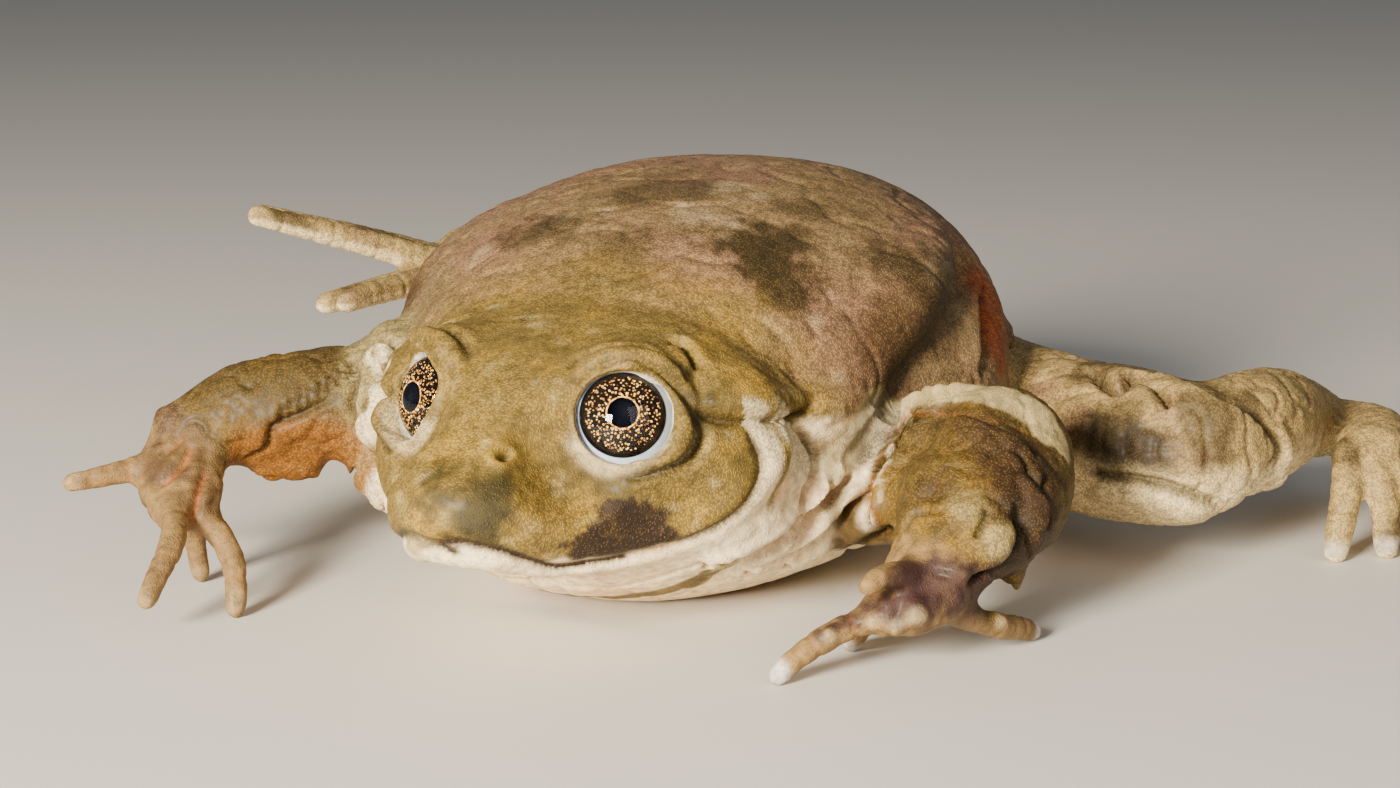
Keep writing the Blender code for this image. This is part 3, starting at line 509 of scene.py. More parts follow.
RIGHT_PALM = [
    ([(152, 487), (168, 478), (184, 462), (192, 444)], 0.8),
    ([(192, 530), (196, 508), (200, 486), (210, 466)], 0.8),
    ([(160, 455), (172, 446), (184, 436)], 0.6),
]
for pixels, width, roll, crease in LEFT_SLEEVE + RIGHT_SLEEVE:
    fold(line_at(pixels), width, roll * 1.5, crease * 1.5, groove=0.5, lean=0.5 * abs(roll))
fold(line_at(RING_FOOT), 4.4, 1.6, 1.0, groove=0.6)
for u, v, wide, high in ARM_LUMPS:
    lump_at((u, v), wide, high)
for pixel in TUBERCLES:
    lump_at(pixel, TUBERCLE_WIDE, TUBERCLE_HIGH)
for pixels, crease in RIGHT_PALM:
    fold(line_at(pixels), 1.8, 0.2, crease, groove=0.6, hollow=-0.2)
for step in range(RIGHT_PLEATS):
    u, v = 346 - 9.5 * step, 374 + 6.2 * step
    fold(line_at([(u + 5, v - 16), (u + 1, v - 4), (u, v + 6)]), 1.1, 0.5, 0.7, groove=0.4)


# The legs' folds
# The thigh and shank are folded under baggy skin that bunches into lumps over the knee and hangs in long
# soft folds down the shank. Each line has the width and height of its roll and the depth of its crease.

LEG_FOLDS = [
    ([(1084, 352), (1096, 372), (1112, 384), (1128, 378), (1136, 356)], 3.0, -0.5, 1.0),
    ([(1152, 378), (1160, 396), (1170, 410)], 2.4, 0.5, 0.9),
    ([(1170, 370), (1190, 384), (1215, 400), (1245, 414), (1266, 430), (1274, 456), (1254, 474), (1243, 503)],
     3.5, 0.7, 0.9),
    ([(1285, 420), (1292, 450), (1280, 490)], 3.0, 0.5, 0.6),
    ([(1060, 470), (1110, 478), (1160, 486), (1200, 500), (1222, 510)], 3.0, 0.5, 0.5),
]
for pixels, width, roll, crease in LEG_FOLDS:
    fold(line_at(pixels), width * 1.7, roll * 3.2, crease * 2.0, groove=0.9, lean=0.8)


# The fingers and toes
# Soft round digits with a pale pad at the tip and creases across their joints. The hands have four and the
# feet five, with loose webs between the toes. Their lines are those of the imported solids.

PAD_RADIUS = 1.0
DIGITS = {
    "left_thumb": [(37.2, -34.2, 9.6), (35.8, -37.8, 10.5), (34.8, -39.8, 9.9)],
    "left_finger_2": [(35.6, -35.2, 6.4), (31.6, -38.2, 4.8), (28.4, -40.9, 2.6), (26.8, -42.1, 1.3)],
    "left_finger_3": [(35.4, -32.4, 5.8), (32.0, -30.9, 3.8), (29.9, -29.7, 1.3)],
    "left_finger_4": [(40.6, -30.2, 5.4), (43.4, -25.4, 3.0), (45.4, -19.4, 1.3)],
    "right_thumb": [(-45.4, -35.4, 13.4), (-48.6, -38.6, 12.9), (-51.8, -41.8, 12.3)],
    "right_finger_2": [(-40.6, -40.0, 10.4), (-37.6, -44.6, 8.6), (-36.8, -48.6, 6.2), (-36.4, -51.8, 4.0)],
    "right_finger_3": [(-38.6, -38.0, 9.6), (-34.4, -39.4, 6.2), (-32.2, -42.2, 1.6)],
    "right_finger_4": [(-42.0, -34.8, 10.0), (-42.6, -33.4, 6.0), (-42.6, -32.2, 1.6)],
    "left_toe_1": [(69.2, 28.0, 10.6), (69.6, 24.4, 7.4), (69.2, 21.2, 1.6)],
    "left_toe_2": [(71.0, 28.4, 10.6), (73.2, 26.0, 7.0), (74.2, 24.8, 1.6)],
    "left_toe_3": [(72.6, 29.6, 10.2), (76.6, 27.8, 6.6), (82.2, 26.2, 1.6)],
    "left_toe_4": [(73.0, 31.4, 9.8), (79.2, 31.6, 6.2), (86.0, 32.0, 2.6), (91.0, 32.6, 1.6)],
    "left_toe_5": [(72.2, 33.6, 9.6), (77.0, 36.6, 6.2), (82.0, 39.8, 2.6), (85.2, 42.0, 1.6)],
    "right_toe_1": [(-46.2, 38.6, 22.4), (-48.4, 31.0, 22.6), (-50.2, 22.6, 22.4), (-51.4, 16.2, 22.0)],
    "right_toe_2": [(-47.2, 38.0, 22.6), (-51.0, 31.2, 22.2), (-56.6, 20.2, 20.8)],
    "right_toe_3": [(-48.4, 37.8, 23.6), (-54.8, 31.4, 26.6), (-66.2, 20.6, 31.4)],
    "right_toe_4": [(-49.8, 39.0, 23.8), (-57.4, 35.0, 26.4), (-71.0, 29.0, 30.2)],
    "right_toe_5": [(-50.0, 41.0, 23.4), (-57.0, 39.8, 25.2), (-68.6, 37.2, 27.8)],
}
CREASE_EVERY = 2.1

pads = np.zeros(point_count)
on_digits = np.zeros(point_count)
for number, (name, corners) in enumerate(DIGITS.items()):
    path = drawn_through(corners, 0.4)
    length = np.linalg.norm(np.diff(path, axis=0), axis=1).sum()
    near = np.nonzero(((places > path.min(0) - 3) & (places < path.max(0) + 3)).all(1))[0]
    spread = ((places[near, None, :] - path[None]) ** 2).sum(2)
    step, away = spread.argmin(1), np.sqrt(spread.min(1))
    along = step / (len(path) - 1) * length
    close = 1 - ramp(away, 1.7, 2.4)
    pulse = np.maximum(0, np.cos((along + 0.3 * number) * 2 * math.pi / CREASE_EVERY)) ** 8
    crease = 0.16 * pulse * close * ramp(along, 1.0, 3.0) * (1 - ramp(along, length - 2.2, length - 1.2))
    lift[near] -= facings[near] * crease[:, None]
    depth[near] = np.maximum(depth[near], crease * 3)
    tip_distance = np.linalg.norm(places[near] - path[-1], axis=1)
    pad = 1 - ramp(tip_distance, 0.6, PAD_RADIUS + 1.3)
    lift[near] += facings[near] * (0.06 * pad)[:, None]
    whiteness = 0.0 if name == "left_thumb" else 1.0 if name.startswith("left") else 0.3
    pads[near] = np.maximum(pads[near], whiteness * (1 - ramp(tip_distance, 0.7, PAD_RADIUS + 0.9)))
    on_digits[near] = np.maximum(on_digits[near], close)


# The skin's wrinkles
# Between the large folds the sheet is finely crumpled: shallow dimples on the back, close cross wrinkles on
# the limbs, and long soft ones where it hangs on the throat, belly and flanks.

SCATTER_PRIMES, SCATTER_FACTOR = (73856093, 19349663, 83492791), 1274126177


def cloud(size, seed, stretch=(1, 1, 1), octaves=3):
    """Soft seeded patches about size mm across, from about -1 to 1, over the whole sheet."""
    total, weight = np.zeros(point_count), 1.0
    for octave in range(octaves):
        spot = places / (np.array(stretch) * size) * 2**octave + seed * 7.31 + octave * 3.7
        cell = np.floor(spot).astype(np.int64)
        f = spot - cell
        f = f * f * (3 - 2 * f)
        shares = [(1 - column, column) for column in f.T]
        codes = [(column * prime, (column + 1) * prime) for column, prime in zip(cell.T, SCATTER_PRIMES)]
        for i, j, k in itertools.product((0, 1), repeat=3):
            code = codes[0][i] ^ codes[1][j] ^ codes[2][k]
            code = ((code ^ (code >> 13)) * SCATTER_FACTOR) & 0x7FFFFFFF
            corner = ((code ^ (code >> 15)) & 0xFFFF) / 32767.5 - 1
            total += weight * shares[0][i] * shares[1][j] * shares[2][k] * corner
        weight *= 0.5
    return total


def wrinkles(size, seed, stretch=(1, 1, 1), octaves=2):
    """Narrow winding lines between soft patches: 1 on a line, 0 between them."""
    return np.clip(1 - np.abs(cloud(size, seed, stretch, octaves)) * 4, 0, 1) ** 2


limbs = softened(part("upper_arm", "forearm", "thigh", "shank", "hand", "foot"), 1.5) * (1 - on_digits)
trunk = softened(part("torso"), 2.0)
headed = softened(part("head"), 1.0)
under = ramp(-facings[:, 2], -0.15, 0.45)
eyes_near = sum(1 - ramp(np.linalg.norm(places - eye_place(side), axis=1), 6.8, 9.0) for side in (1, -1))

limb_lines = wrinkles(4.2, 3, (1, 1, 1.6)) * 0.38 + wrinkles(2.4, 4) * 0.2
back_lines = wrinkles(7.5, 5) * 0.3 + wrinkles(4.1, 6) * 0.10
hang_lines = wrinkles(4.5, 7, (1.2, 3.2, 0.8)) * 0.6
hanging = np.clip(trunk * ramp(24 - places[:, 2], 0, 10) + jaw * 0.5, 0, 1)
crumple = limb_lines * limbs + back_lines * trunk * (1 - hanging) + hang_lines * hanging
crumple += headed * (1 - eyes_near) * wrinkles(3.6, 8) * 0.07
crumple += headed * np.clip(eyes_near, 0, 1) * 0.10 * wrinkles(2.0, 9)
crumple += 0.10 * cloud(2.6, 11, octaves=2) * (0.5 + 0.5 * limbs) * (1 - 0.5 * on_digits)
crumple += 0.035 * cloud(0.95, 12, octaves=2)
crumple *= ramp(places[:, 2], 0.4, 2.0) * (1 - 0.85 * lips)
lift -= facings * crumple[:, None]

places = softened(places + lift, VOXEL * 0.8)
places += (softened(places, 0.8) - places) * (0.8 * lips**3)[:, None]
places[:, 2] = np.maximum(places[:, 2], 0.02)
facings = shape_skin(places)

skin.data.shade_smooth()
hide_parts(*FLESH)
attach(skin, "root")


# The skin's markings
# Olive and khaki on the face and arms, mauve brown on the back with dark olive blotches, grey tan on the legs,
# and cream to peach below, orange in the folds.
# Pigment is laid over the sheet in soft, ragged patches, with painted shade in the creases, under the lips and
# the shield's rim, and painted highlights on the forearm's lumps.

BACK_MAUVE, BACK_TAN, BACK_OLIVE, BACK_PALE = "#89664D", "#876D48", "#5A4B28", "#AA9470"
FACE_OLIVE, FACE_GOLD, FACE_SMUDGE_AND_SHADE, FACE_PALE = "#7E672C", "#AC8830", "#383014", "#B8A36A"
BLOTCH_AND_CREASE_SHADE, CHEEK_BLOTCH, NOSTRIL_GOLD = "#33280F", "#2A1B12", "#C2A03C"
THROAT_CREAM, THROAT_PEACH, FOLD_ORANGE = "#F6DCAE", "#E8AC72", "#A8531F"
ARM_OLIVE, ARM_GOLD, ARM_RUST, ARM_UNDER = "#5E4A1E", "#80621F", "#34200C", "#86500E"
SLEEVE_PALE, RING_PALE = "#BCA86E", "#AC9868"
HAND_TAN, WRIST_PURPLE, PAD_WHITE, PAD_TAN = "#8E7046", "#38221F", "#D4D4CC", "#B9A47A"
LEG_TAN, LEG_DARK, LEG_CREAM = "#B0955C", "#2E2210", "#FADFA6"
FLANK_ORANGE, FLANK_SHADOW, LID_PALE, LID_RIM = "#9A4717", "#4A3218", "#C8B284", "#E6DFC4"
CREASE_SHADOW, LIP_CREAM = "#2C1E10", "#F4E0B4"

# Where the photograph shows single patches: across, down, and how wide in mm.
BACK_BLOTCHES = [
    (772, 264, 5.0), (752, 243, 3.4), (788, 284, 3.4), (672, 185, 5.4), (610, 262, 5.0), (560, 230, 3.8),
    (520, 232, 3.4), (925, 282, 4.4), (898, 262, 3.4), (802, 208, 3.0), (600, 290, 3.0), (940, 262, 2.8),
]
# Painted shade on the flank, where it falls away under the shield's rim.
FLANK_SHADOW_PLACES = [(886, 352, 4.0), (908, 330, 4.0), (935, 310, 3.5)]
CHEEK_BLOTCHES = [
    (584, 552, 2.0), (604, 545, 2.6), (626, 538, 3.0), (648, 534, 2.6), (664, 540, 1.4), (628, 514, 1.6),
    (640, 524, 2.0),
]
NECK_CREAMS = [
    (790, 500, 3.4), (812, 500, 3.6), (838, 500, 3.6), (862, 515, 3.0), (800, 528, 3.6), (840, 532, 3.4),
    (858, 484, 2.6), (870, 540, 2.6), (760, 548, 4.0),
]
RING_CREAMS = [
    (888, 418, 2.34), (876, 432, 2.6), (864, 450, 3.12), (856, 470, 3.38), (866, 492, 3.12),
    (872, 515, 2.86),
]
ARM_RUSTS = [
    (1030, 465, 4.0), (1040, 500, 4.4), (1034, 540, 3.6), (1000, 436, 3.4), (975, 424, 2.8),
    (945, 420, 2.2), (932, 492, 1.8), (1015, 480, 3.2),
]
WRIST_PURPLES = [
    (905, 585, 3.0), (915, 570, 2.0), (875, 606, 1.6), (905, 604, 2.2), (975, 592, 3.0), (940, 588, 3.0),
    (850, 620, 1.0), (835, 626, 0.8), (820, 633, 0.7),
]
TUBERCLE_TANS = [
    (873, 622, 0.8), (895, 628, 0.8), (910, 619, 0.8), (921, 616, 0.8), (830, 638, 0.8), (1003, 622, 0.8),
]
THIGH_DARKS = [(1115, 442, 4.5), (1150, 468, 4.5), (1135, 455, 4.0)]

# The same, with a strength each.
# Dark smudges of the skin, but for two of painted shade: behind the eye's bag (700, 402) and beside the jaw's
# fold (745, 470).
FACE_SMUDGES_AND_SHADES = [
    (496, 484, 1.8, 0.6), (488, 502, 2.2, 0.8), (480, 518, 2.2, 0.8), (472, 533, 1.9, 0.7),
    (440, 474, 1.6, 0.7), (434, 492, 1.6, 0.7), (428, 508, 1.5, 0.7), (522, 446, 2.2, 0.5),
    (508, 470, 1.6, 0.4), (700, 402, 3.0, 0.7), (590, 474, 2.0, 0.6), (622, 484, 2.0, 0.6),
    (566, 462, 1.6, 0.4), (745, 470, 2.0, 0.5), (560, 360, 2.2, 0.4), (500, 345, 3.0, 0.4),
]
# Painted highlights on the forearm's lumps.
LUMP_HIGHLIGHTS = [(966, 506, 1.8, 0.35), (1000, 545, 2.2, 0.5), (962, 574, 1.1, 0.8), (1012, 590, 1.6, 0.8)]
RIGHT_HAND_DARKS = [
    (197, 497, 2.2, 0.6), (215, 508, 1.6, 0.5), (190, 442, 2.6, 0.5), (158, 466, 1.8, 0.45),
    (205, 470, 1.6, 0.5),
]


def linear(hex_colour):
    """An sRGB hex colour as linear red, green, blue and full opacity."""
    parts = [int(hex_colour[i : i + 2], 16) / 255 for i in (1, 3, 5)]
    return (*[c / 12.92 if c <= 0.04045 else ((c + 0.055) / 1.055) ** 2.4 for c in parts], 1.0)


pigment = np.tile(np.array(linear(BACK_TAN)[:3]), (point_count, 1))
golden = np.ones(point_count)


def tint(mask, hex_colour, strength=1.0):
    """Lays a pigment over the sheet where the mask is above 0."""
    share = np.clip(mask * strength, 0, 1)[:, None]
    pigment[:] = pigment * (1 - share) + np.array(linear(hex_colour)[:3]) * share


def patch(centre, wide, blur, rag=0.35, seed=1):
    """1 inside a ragged round patch on one side of the body and 0 outside."""
    place, facing = centre
    away = np.linalg.norm(places - place, axis=1) / wide + rag * cloud(wide * 0.7, seed)
    return (1 - ramp(away, 1 - blur, 1 + blur)) * ramp(facings @ facing, -0.3, 0.3)


def patch_at(pixel, wide, blur=0.3, rag=0.35, seed=1):
    found, facing = seen_at([pixel])
    return patch((found[0], facing[0]), wide, blur, rag, seed) if len(found) else np.zeros(point_count)


def dab(spots, hex_colour, strength, blur, rag, seed, step=0, within=1.0):
    """Lays a ragged patch at each spot of the photograph; a spot can have its own share of the strength."""
    for number, (u, v, wide, *share) in enumerate(spots):
        mask = patch_at((u, v), wide, blur, rag, seed + step * number) * within
        tint(mask, hex_colour, strength * share[0] if share else strength)


def band(line, low, high, soft):
    """1 on a band along a line, from low to high mm to its right, and 0 beyond its soft edges."""
    near, offset, _, _, strength = beside(line, max(abs(low), abs(high)) + soft)
    within = ramp(offset, low - soft, low + soft) * (1 - ramp(offset, high - soft, high + soft))
    mask = np.zeros(point_count)
    mask[near] = within * strength
    return mask


# The back and flanks: mauve and tan clouds, small flecks, dark olive blotches, and painted shade under the
# shield's rim.
tint(ramp(cloud(11, 21), -0.2, 0.6), BACK_MAUVE, 0.8)
tint(ramp(cloud(7, 22), 0.1, 0.9), BACK_OLIVE, 0.5)
tint(ramp(cloud(5, 36), 0.35, 1.1), BACK_PALE, 0.6)
tint(ramp(cloud(3.0, 23), 0.3, 1.2), BLOTCH_AND_CREASE_SHADE, 0.3)
tint(ramp(cloud(1.3, 37), 0.5, 1.3), BLOTCH_AND_CREASE_SHADE, 0.3)
dab(BACK_BLOTCHES[:3], BLOTCH_AND_CREASE_SHADE, 0.92, 0.5, 0.65, 30, 1)
dab(BACK_BLOTCHES[3:], BLOTCH_AND_CREASE_SHADE, 0.6, 0.5, 0.65, 33, 1)
hidden_back = trunk * ramp(places[:, 1], 14, 30) * (1 - under)
tint(hidden_back * ramp(cloud(10, 41), 0.35, 0.75), BLOTCH_AND_CREASE_SHADE, 0.6)
# Painted shade under the shield's rim, on both flanks.
for number, (u, v, wide) in enumerate(FLANK_SHADOW_PLACES):
    for spot, facing in (seen_at([(u, v)]), on_skin(seen_at([(u, v)])[0] * (-1, 1, 1))):
        tint(patch((spot[0], facing[0]), wide, 0.7, 0.3, 95 + number), FLANK_SHADOW, 0.8)

# The face: olive with golden clouds, dark smudges round the nostrils, painted shade behind the eye's bag and
# beside the jaw's fold, and the blotch on the lip.
face = np.clip(headed + ramp(-places[:, 1], 16, 30) * trunk * (1 - under), 0, 1)
tint(face, FACE_OLIVE, 0.95)
tint(face * ramp(cloud(6, 24), -0.1, 0.8), FACE_GOLD, 0.6)
tint(face * ramp(cloud(4.5, 25), 0.25, 0.9), FACE_SMUDGE_AND_SHADE, 0.4)
tint(face * ramp(cloud(2.2, 38), 0.3, 1.2), FACE_PALE, 0.5)
# Dark smudges, two of them painted shade, each dimming the gold grains.
for number, (u, v, wide, strength) in enumerate(FACE_SMUDGES_AND_SHADES):
    smudge_and_shade = patch_at((u, v), wide, 0.7, 0.8, 50 + number)
    tint(smudge_and_shade, FACE_SMUDGE_AND_SHADE, strength * 1.2)
    golden *= 1 - 0.5 * smudge_and_shade
for place in nostril_places:
    tint(patch(place, 1.3, 0.5, 0.4, 73), NOSTRIL_GOLD, 0.3)
dab(CHEEK_BLOTCHES[::2], CHEEK_BLOTCH, 0.9, 0.25, 0.7, 61)
dab(CHEEK_BLOTCHES[1::2], CHEEK_BLOTCH, 0.9, 0.25, 0.7, 62)

# The throat, belly and neck: cream and peach, orange where the folds close.
neck_height = seen_at([(822, 462)])[0][0, 2] + 0.5 * cloud(5, 70)
neck = ramp(neck_height - places[:, 2], -0.6, 1.2) * ramp(-4 - places[:, 1], 0, 5)
neck *= 1 - ramp(headed, 0.3, 0.7)
below = np.clip(jaw + under * np.clip(trunk + headed, 0, 1), 0, 1)
below = np.maximum(below, neck * (1 - softened(part("upper_arm", "forearm"), 1.0)))
below *= 1 - ramp(headed, 0.5, 0.9)
for u, v, wide in NECK_CREAMS:
    below = np.maximum(below, patch_at((u, v), wide, 0.35, 0.2, 91))
tint(below, THROAT_CREAM)
tint(below * ramp(cloud(7, 26), -0.1, 0.9), THROAT_PEACH, 0.6)
for line in neck_lines:
    tint(band(line, -0.5, 0.3, 0.35), FOLD_ORANGE, 0.65)
    tint(band(line, 0.6, 2.6, 0.5), LIP_CREAM, 0.7)
golden *= 1 - 0.85 * np.clip(below, 0, 1)

# The arms: golden olive, a pale ring over the elbow, rust on the outer side, purple at the wrist, painted
# highlights on the forearm's lumps and painted shadow in its lobe's crease.
arms = softened(part("upper_arm", "forearm", "hand", "finger"), 0.8)
tint(arms, ARM_OLIVE)
tint(arms * ramp(cloud(5, 27), -0.2, 0.7), ARM_GOLD, 0.7)
tint(arms * ramp(cloud(3.2, 28), 0.2, 1.0), BLOTCH_AND_CREASE_SHADE, 0.35)
tint(softened(part("upper_arm"), 1.2) * (places[:, 0] < 0), SLEEVE_PALE, 0.85)
ring = band(line_at(ARM_RING), -3.4, 0.8, 0.3)
tint(ring, RING_PALE, 0.95)
golden *= 1 - 0.6 * ring
lobe = band(line_at(LEFT_SLEEVE[1][0]), -0.6, 8.0, 0.5)
forearms = softened(part("forearm", "hand", "finger"), 0.8)
dab(RING_CREAMS, LIP_CREAM, 0.85, 0.4, 0.2, 90, within=(1 - lobe) * (1 - forearms))
for pixels, *_ in LEFT_SLEEVE[:2]:
    tint(band(line_at(pixels), -0.2, 0.3, 0.25), FOLD_ORANGE, 0.35)
dab(ARM_RUSTS, ARM_RUST, 0.75, 0.7, 0.5, 80, within=arms * (1 - ring))
# Painted highlights on the forearm's lumps.
dab(LUMP_HIGHLIGHTS, SLEEVE_PALE, 1.0, 0.6, 0.3, 82, within=arms)
tint(arms * ramp(-places[:, 0], 20, 26), BLOTCH_AND_CREASE_SHADE, 0.35)
low_arm = arms * under * ramp(places[:, 2], 4, 9)
tint(low_arm * (places[:, 0] < 0), ARM_UNDER, 0.8)
tint(low_arm * (places[:, 0] > 0), ARM_RUST, 0.5)
# Painted shadow in the deep crease where the forearm's lobe ends.
tint(band(line_at(LEFT_SLEEVE[3][0]), -0.8, 1.4, 0.4), CREASE_SHADOW, 0.85)
hands = softened(part("hand", "finger"), 0.8)
tint(hands, HAND_TAN, 0.7)
tint(hands * ramp(cloud(2.4, 29), 0.0, 0.7) * (1 - 0.6 * on_digits), WRIST_PURPLE, 0.6)
dab(WRIST_PURPLES, WRIST_PURPLE, 0.85, 0.5, 0.5, 84)
dab(TUBERCLE_TANS, PAD_TAN, 0.35, 0.6, 0.2, 85)
dab(RIGHT_HAND_DARKS, ARM_RUST, 1.0, 0.7, 0.5, 92)

# The legs: grey tan with dark patches, cream below, and an orange streak where the flank meets the thigh.
legs = softened(part("thigh", "shank", "foot"), 0.8)
tint(legs, LEG_TAN)
tint(legs * ramp(cloud(8, 31), 0.15, 0.6), LEG_DARK, 0.75)
tint(legs * ramp(cloud(4, 32), 0.2, 0.9), BACK_MAUVE, 0.5)
dab(THIGH_DARKS, LEG_DARK, 0.85, 0.4, 0.4, 86)
leg_low = ramp(11.0 + 0.8 * cloud(4, 44) - places[:, 2], -1.0, 1.5) * (1 - softened(part("foot"), 1.0))
tint(legs * np.maximum(under, leg_low), LEG_CREAM, 0.9)
flank_streak = patch_at((990, 300), 4.0, 0.5, 0.2, 88) + patch_at((996, 340), 3.4, 0.5, 0.2, 88)
tint(flank_streak, FLANK_ORANGE, 0.8)

# The pale pads of the digits, orange deep in the pale folds and painted shade in the other creases and the
# nostrils, and the edges of lips and lids with painted shadow beside them.
tint(pads * ramp(-places[:, 0], -10, -30), PAD_WHITE, 0.8)
tint(pads * ramp(-places[:, 0], 10, 30), PAD_TAN, 0.8)
# Orange deep in the pale folds; elsewhere painted shade in the creases and nostrils, darker where the sheet
# sinks deeper.
tint(ramp(depth, 0.2, 1.0) * below, FOLD_ORANGE, 0.5)
tint(ramp(depth, 0.15, 0.8) * (1 - below), BLOTCH_AND_CREASE_SHADE, 0.7)
# The jaw's collar: a cream roll, with painted shadow along its crease.
for line in collar_lines:
    tint(band(line, -4.4, -0.4, 0.6), LIP_CREAM, 0.75)
    tint(band(line, -0.3, 0.5, 0.5), LEG_DARK, 0.45)
for line in mouth_lines:
    tint(band(line, 0.4, 2.8, 0.6), LIP_CREAM, 0.7)
# Painted shade on the outer side of each lid's bag, where it turns away from the light.
for line in bag_lines:
    tint(band(line, -0.4, 0.9, 0.5), FACE_SMUDGE_AND_SHADE, 0.8)
# Painted shadow along the mouth's line, under the overhanging upper lip.
for line in mouth_lines:
    tint(band(line, -0.6, 0.3, 0.5), FACE_SMUDGE_AND_SHADE, 0.7)
# A darker painted shadow under the front of the upper lip, and in the gap at the snout's tip.
for line in both(line_at(MOUTH[:6]), head=True):
    tint(band(line, -0.6, 0.2, 0.3), CREASE_SHADOW)
tint(patch_at((412, 543), 1.3, 0.4, 0.2, 71), CREASE_SHADOW, 0.7)
tint(patch_at((418, 556), 2.2, 0.6, 0.2, 74), FACE_PALE, 0.5)
for side in (1, -1):
    away = np.linalg.norm(places - eye_place(side), axis=1)
    forward = (places - eye_place(side)) @ eye_direction(side)
    down = eye_place(side)[2] - places[:, 2]
    tint((1 - ramp(away, 6.6, 8.0)) * ramp(forward, 0, 2) * ramp(down, -0.5, 1.5), LID_PALE, 0.85)
    tint((1 - ramp(away, 6.4, 7.2)) * ramp(forward, 0, 2) * ramp(-down, 0.5, 2.5), FACE_OLIVE, 0.5)
    rim = (1 - ramp(away, 5.6, 5.95)) * ramp(forward, 1, 2)
    tint(rim, LID_RIM, 0.95)
    golden *= 1 - rim
golden *= 1 - 0.8 * pads

attribute = skin.data.attributes.new("pigment", "FLOAT_COLOR", "POINT")
attribute.data.foreach_set("color", np.hstack([pigment, np.ones((point_count, 1))]).ravel())
attribute = skin.data.attributes.new("golden", "FLOAT", "POINT")
attribute.data.foreach_set("value", golden)


# The skin's finish
# Moist living skin: fine round granules, each tipped with gold over dark pigment, under a film of water.
# It gives a soft sheen on every fold, a grain that glitters a little, and light that sinks in at thin edges.

GRANULE, GRANULE_HEIGHT = 0.27, 0.10  # about the real size, three render pixels across
GRANULE_GOLD, GRANULE_GAP = "#D2AC58", "#1E1606"
GOLD_CLOUD, GOLD_SHARE = 6.0, (0.05, 0.16)  # the gold comes and goes in clouds of this size in mm
MOTTLE, MOTTLE_SHADE = 1.1, (0.6, 1.32)  # the finest patches of light and dark pigment
MOIST_ROUGHNESS = (0.55, 0.75)


def new_material(name):
    """A material, its node tree and its main shader."""
    material = bpy.data.materials.new(name)
    material.use_nodes = True
    return material, material.node_tree, material.node_tree.nodes["Principled BSDF"]


def add_node(tree, kind, settings=None, **sockets):
    """A node with its settings; its sockets get values, outputs, or the first output of a node."""
    node = tree.nodes.new("ShaderNode" + kind)
    for key, value in (settings or {}).items():
        setattr(node, key, value)
    for key, value in sockets.items():
        numbered = key[0] == "i" and key[1:].isdigit()
        socket = node.inputs[int(key[1:]) if numbered else key.replace("_", " ")]
        if isinstance(value, bpy.types.Node):
            value = value.outputs[0]
        if isinstance(value, bpy.types.NodeSocket):
            tree.links.new(value, socket)
        else:
            socket.default_value = value
    return node


skin_material, skin_nodes, skin_shader = new_material("moist_granular_skin")
skin_node = partial(add_node, skin_nodes)
where = skin_node("TexCoord").outputs["Object"]
pigment_read = skin_node("Attribute", {"attribute_name": "pigment"}).outputs["Color"]
golden_read = skin_node("Attribute", {"attribute_name": "golden"}).outputs["Fac"]
granules = skin_node(
    "TexVoronoi", {"feature": "SMOOTH_F1"}, Vector=where, Scale=1 / (GRANULE * MM), Smoothness=0.25,
)
mottle = skin_node("TexNoise", Vector=where, Scale=1 / (MOTTLE * MM), Detail=4.0, Roughness=0.65)
broad = skin_node("TexNoise", Vector=where, Scale=1 / (GOLD_CLOUD * MM), Detail=3.0)
shade = skin_node(
    "MapRange", Value=mottle, From_Min=0.3, From_Max=0.7, To_Min=MOTTLE_SHADE[0], To_Max=MOTTLE_SHADE[1],
)
toned = skin_node("Mix", {"data_type": "RGBA", "blend_type": "MULTIPLY"}, i0=1.0, i6=pigment_read, i7=shade)
top = skin_node("MapRange", Value=granules, From_Min=0.1, From_Max=0.42, To_Min=1.0, To_Max=0.0)
gold_here = skin_node("Math", {"operation": "MULTIPLY"}, i0=top, i1=golden_read)
patchy = skin_node(
    "MapRange", Value=broad, From_Min=0.35, From_Max=0.7, To_Min=GOLD_SHARE[0], To_Max=GOLD_SHARE[1],
)
gold_share = skin_node("Math", {"operation": "MULTIPLY"}, i0=gold_here, i1=patchy)
gilded = skin_node(
    "Mix", {"data_type": "RGBA"}, i0=gold_share, i6=toned.outputs[2], i7=linear(GRANULE_GOLD),
)
gap = skin_node("MapRange", Value=granules, From_Min=0.36, From_Max=0.66, To_Min=0.0, To_Max=0.5)
gap_share = skin_node("Math", {"operation": "MULTIPLY"}, i0=gap, i1=golden_read)
skin_colour = skin_node(
    "Mix", {"data_type": "RGBA"}, i0=gap_share, i6=gilded.outputs[2], i7=linear(GRANULE_GAP),
)
film = skin_node(
    "MapRange", Value=mottle, From_Min=0.3, From_Max=0.7, To_Min=MOIST_ROUGHNESS[0],
    To_Max=MOIST_ROUGHNESS[1],
)
relief = skin_node("Math", {"operation": "MULTIPLY_ADD"}, i0=mottle, i1=1.2, i2=top)
bump = skin_node("Bump", Height=relief, Distance=GRANULE_HEIGHT * MM, Strength=0.7)
skin_nodes.links.new(skin_colour.outputs[2], skin_shader.inputs["Base Color"])
skin_nodes.links.new(film.outputs["Result"], skin_shader.inputs["Roughness"])
skin_nodes.links.new(bump.outputs["Normal"], skin_shader.inputs["Normal"])
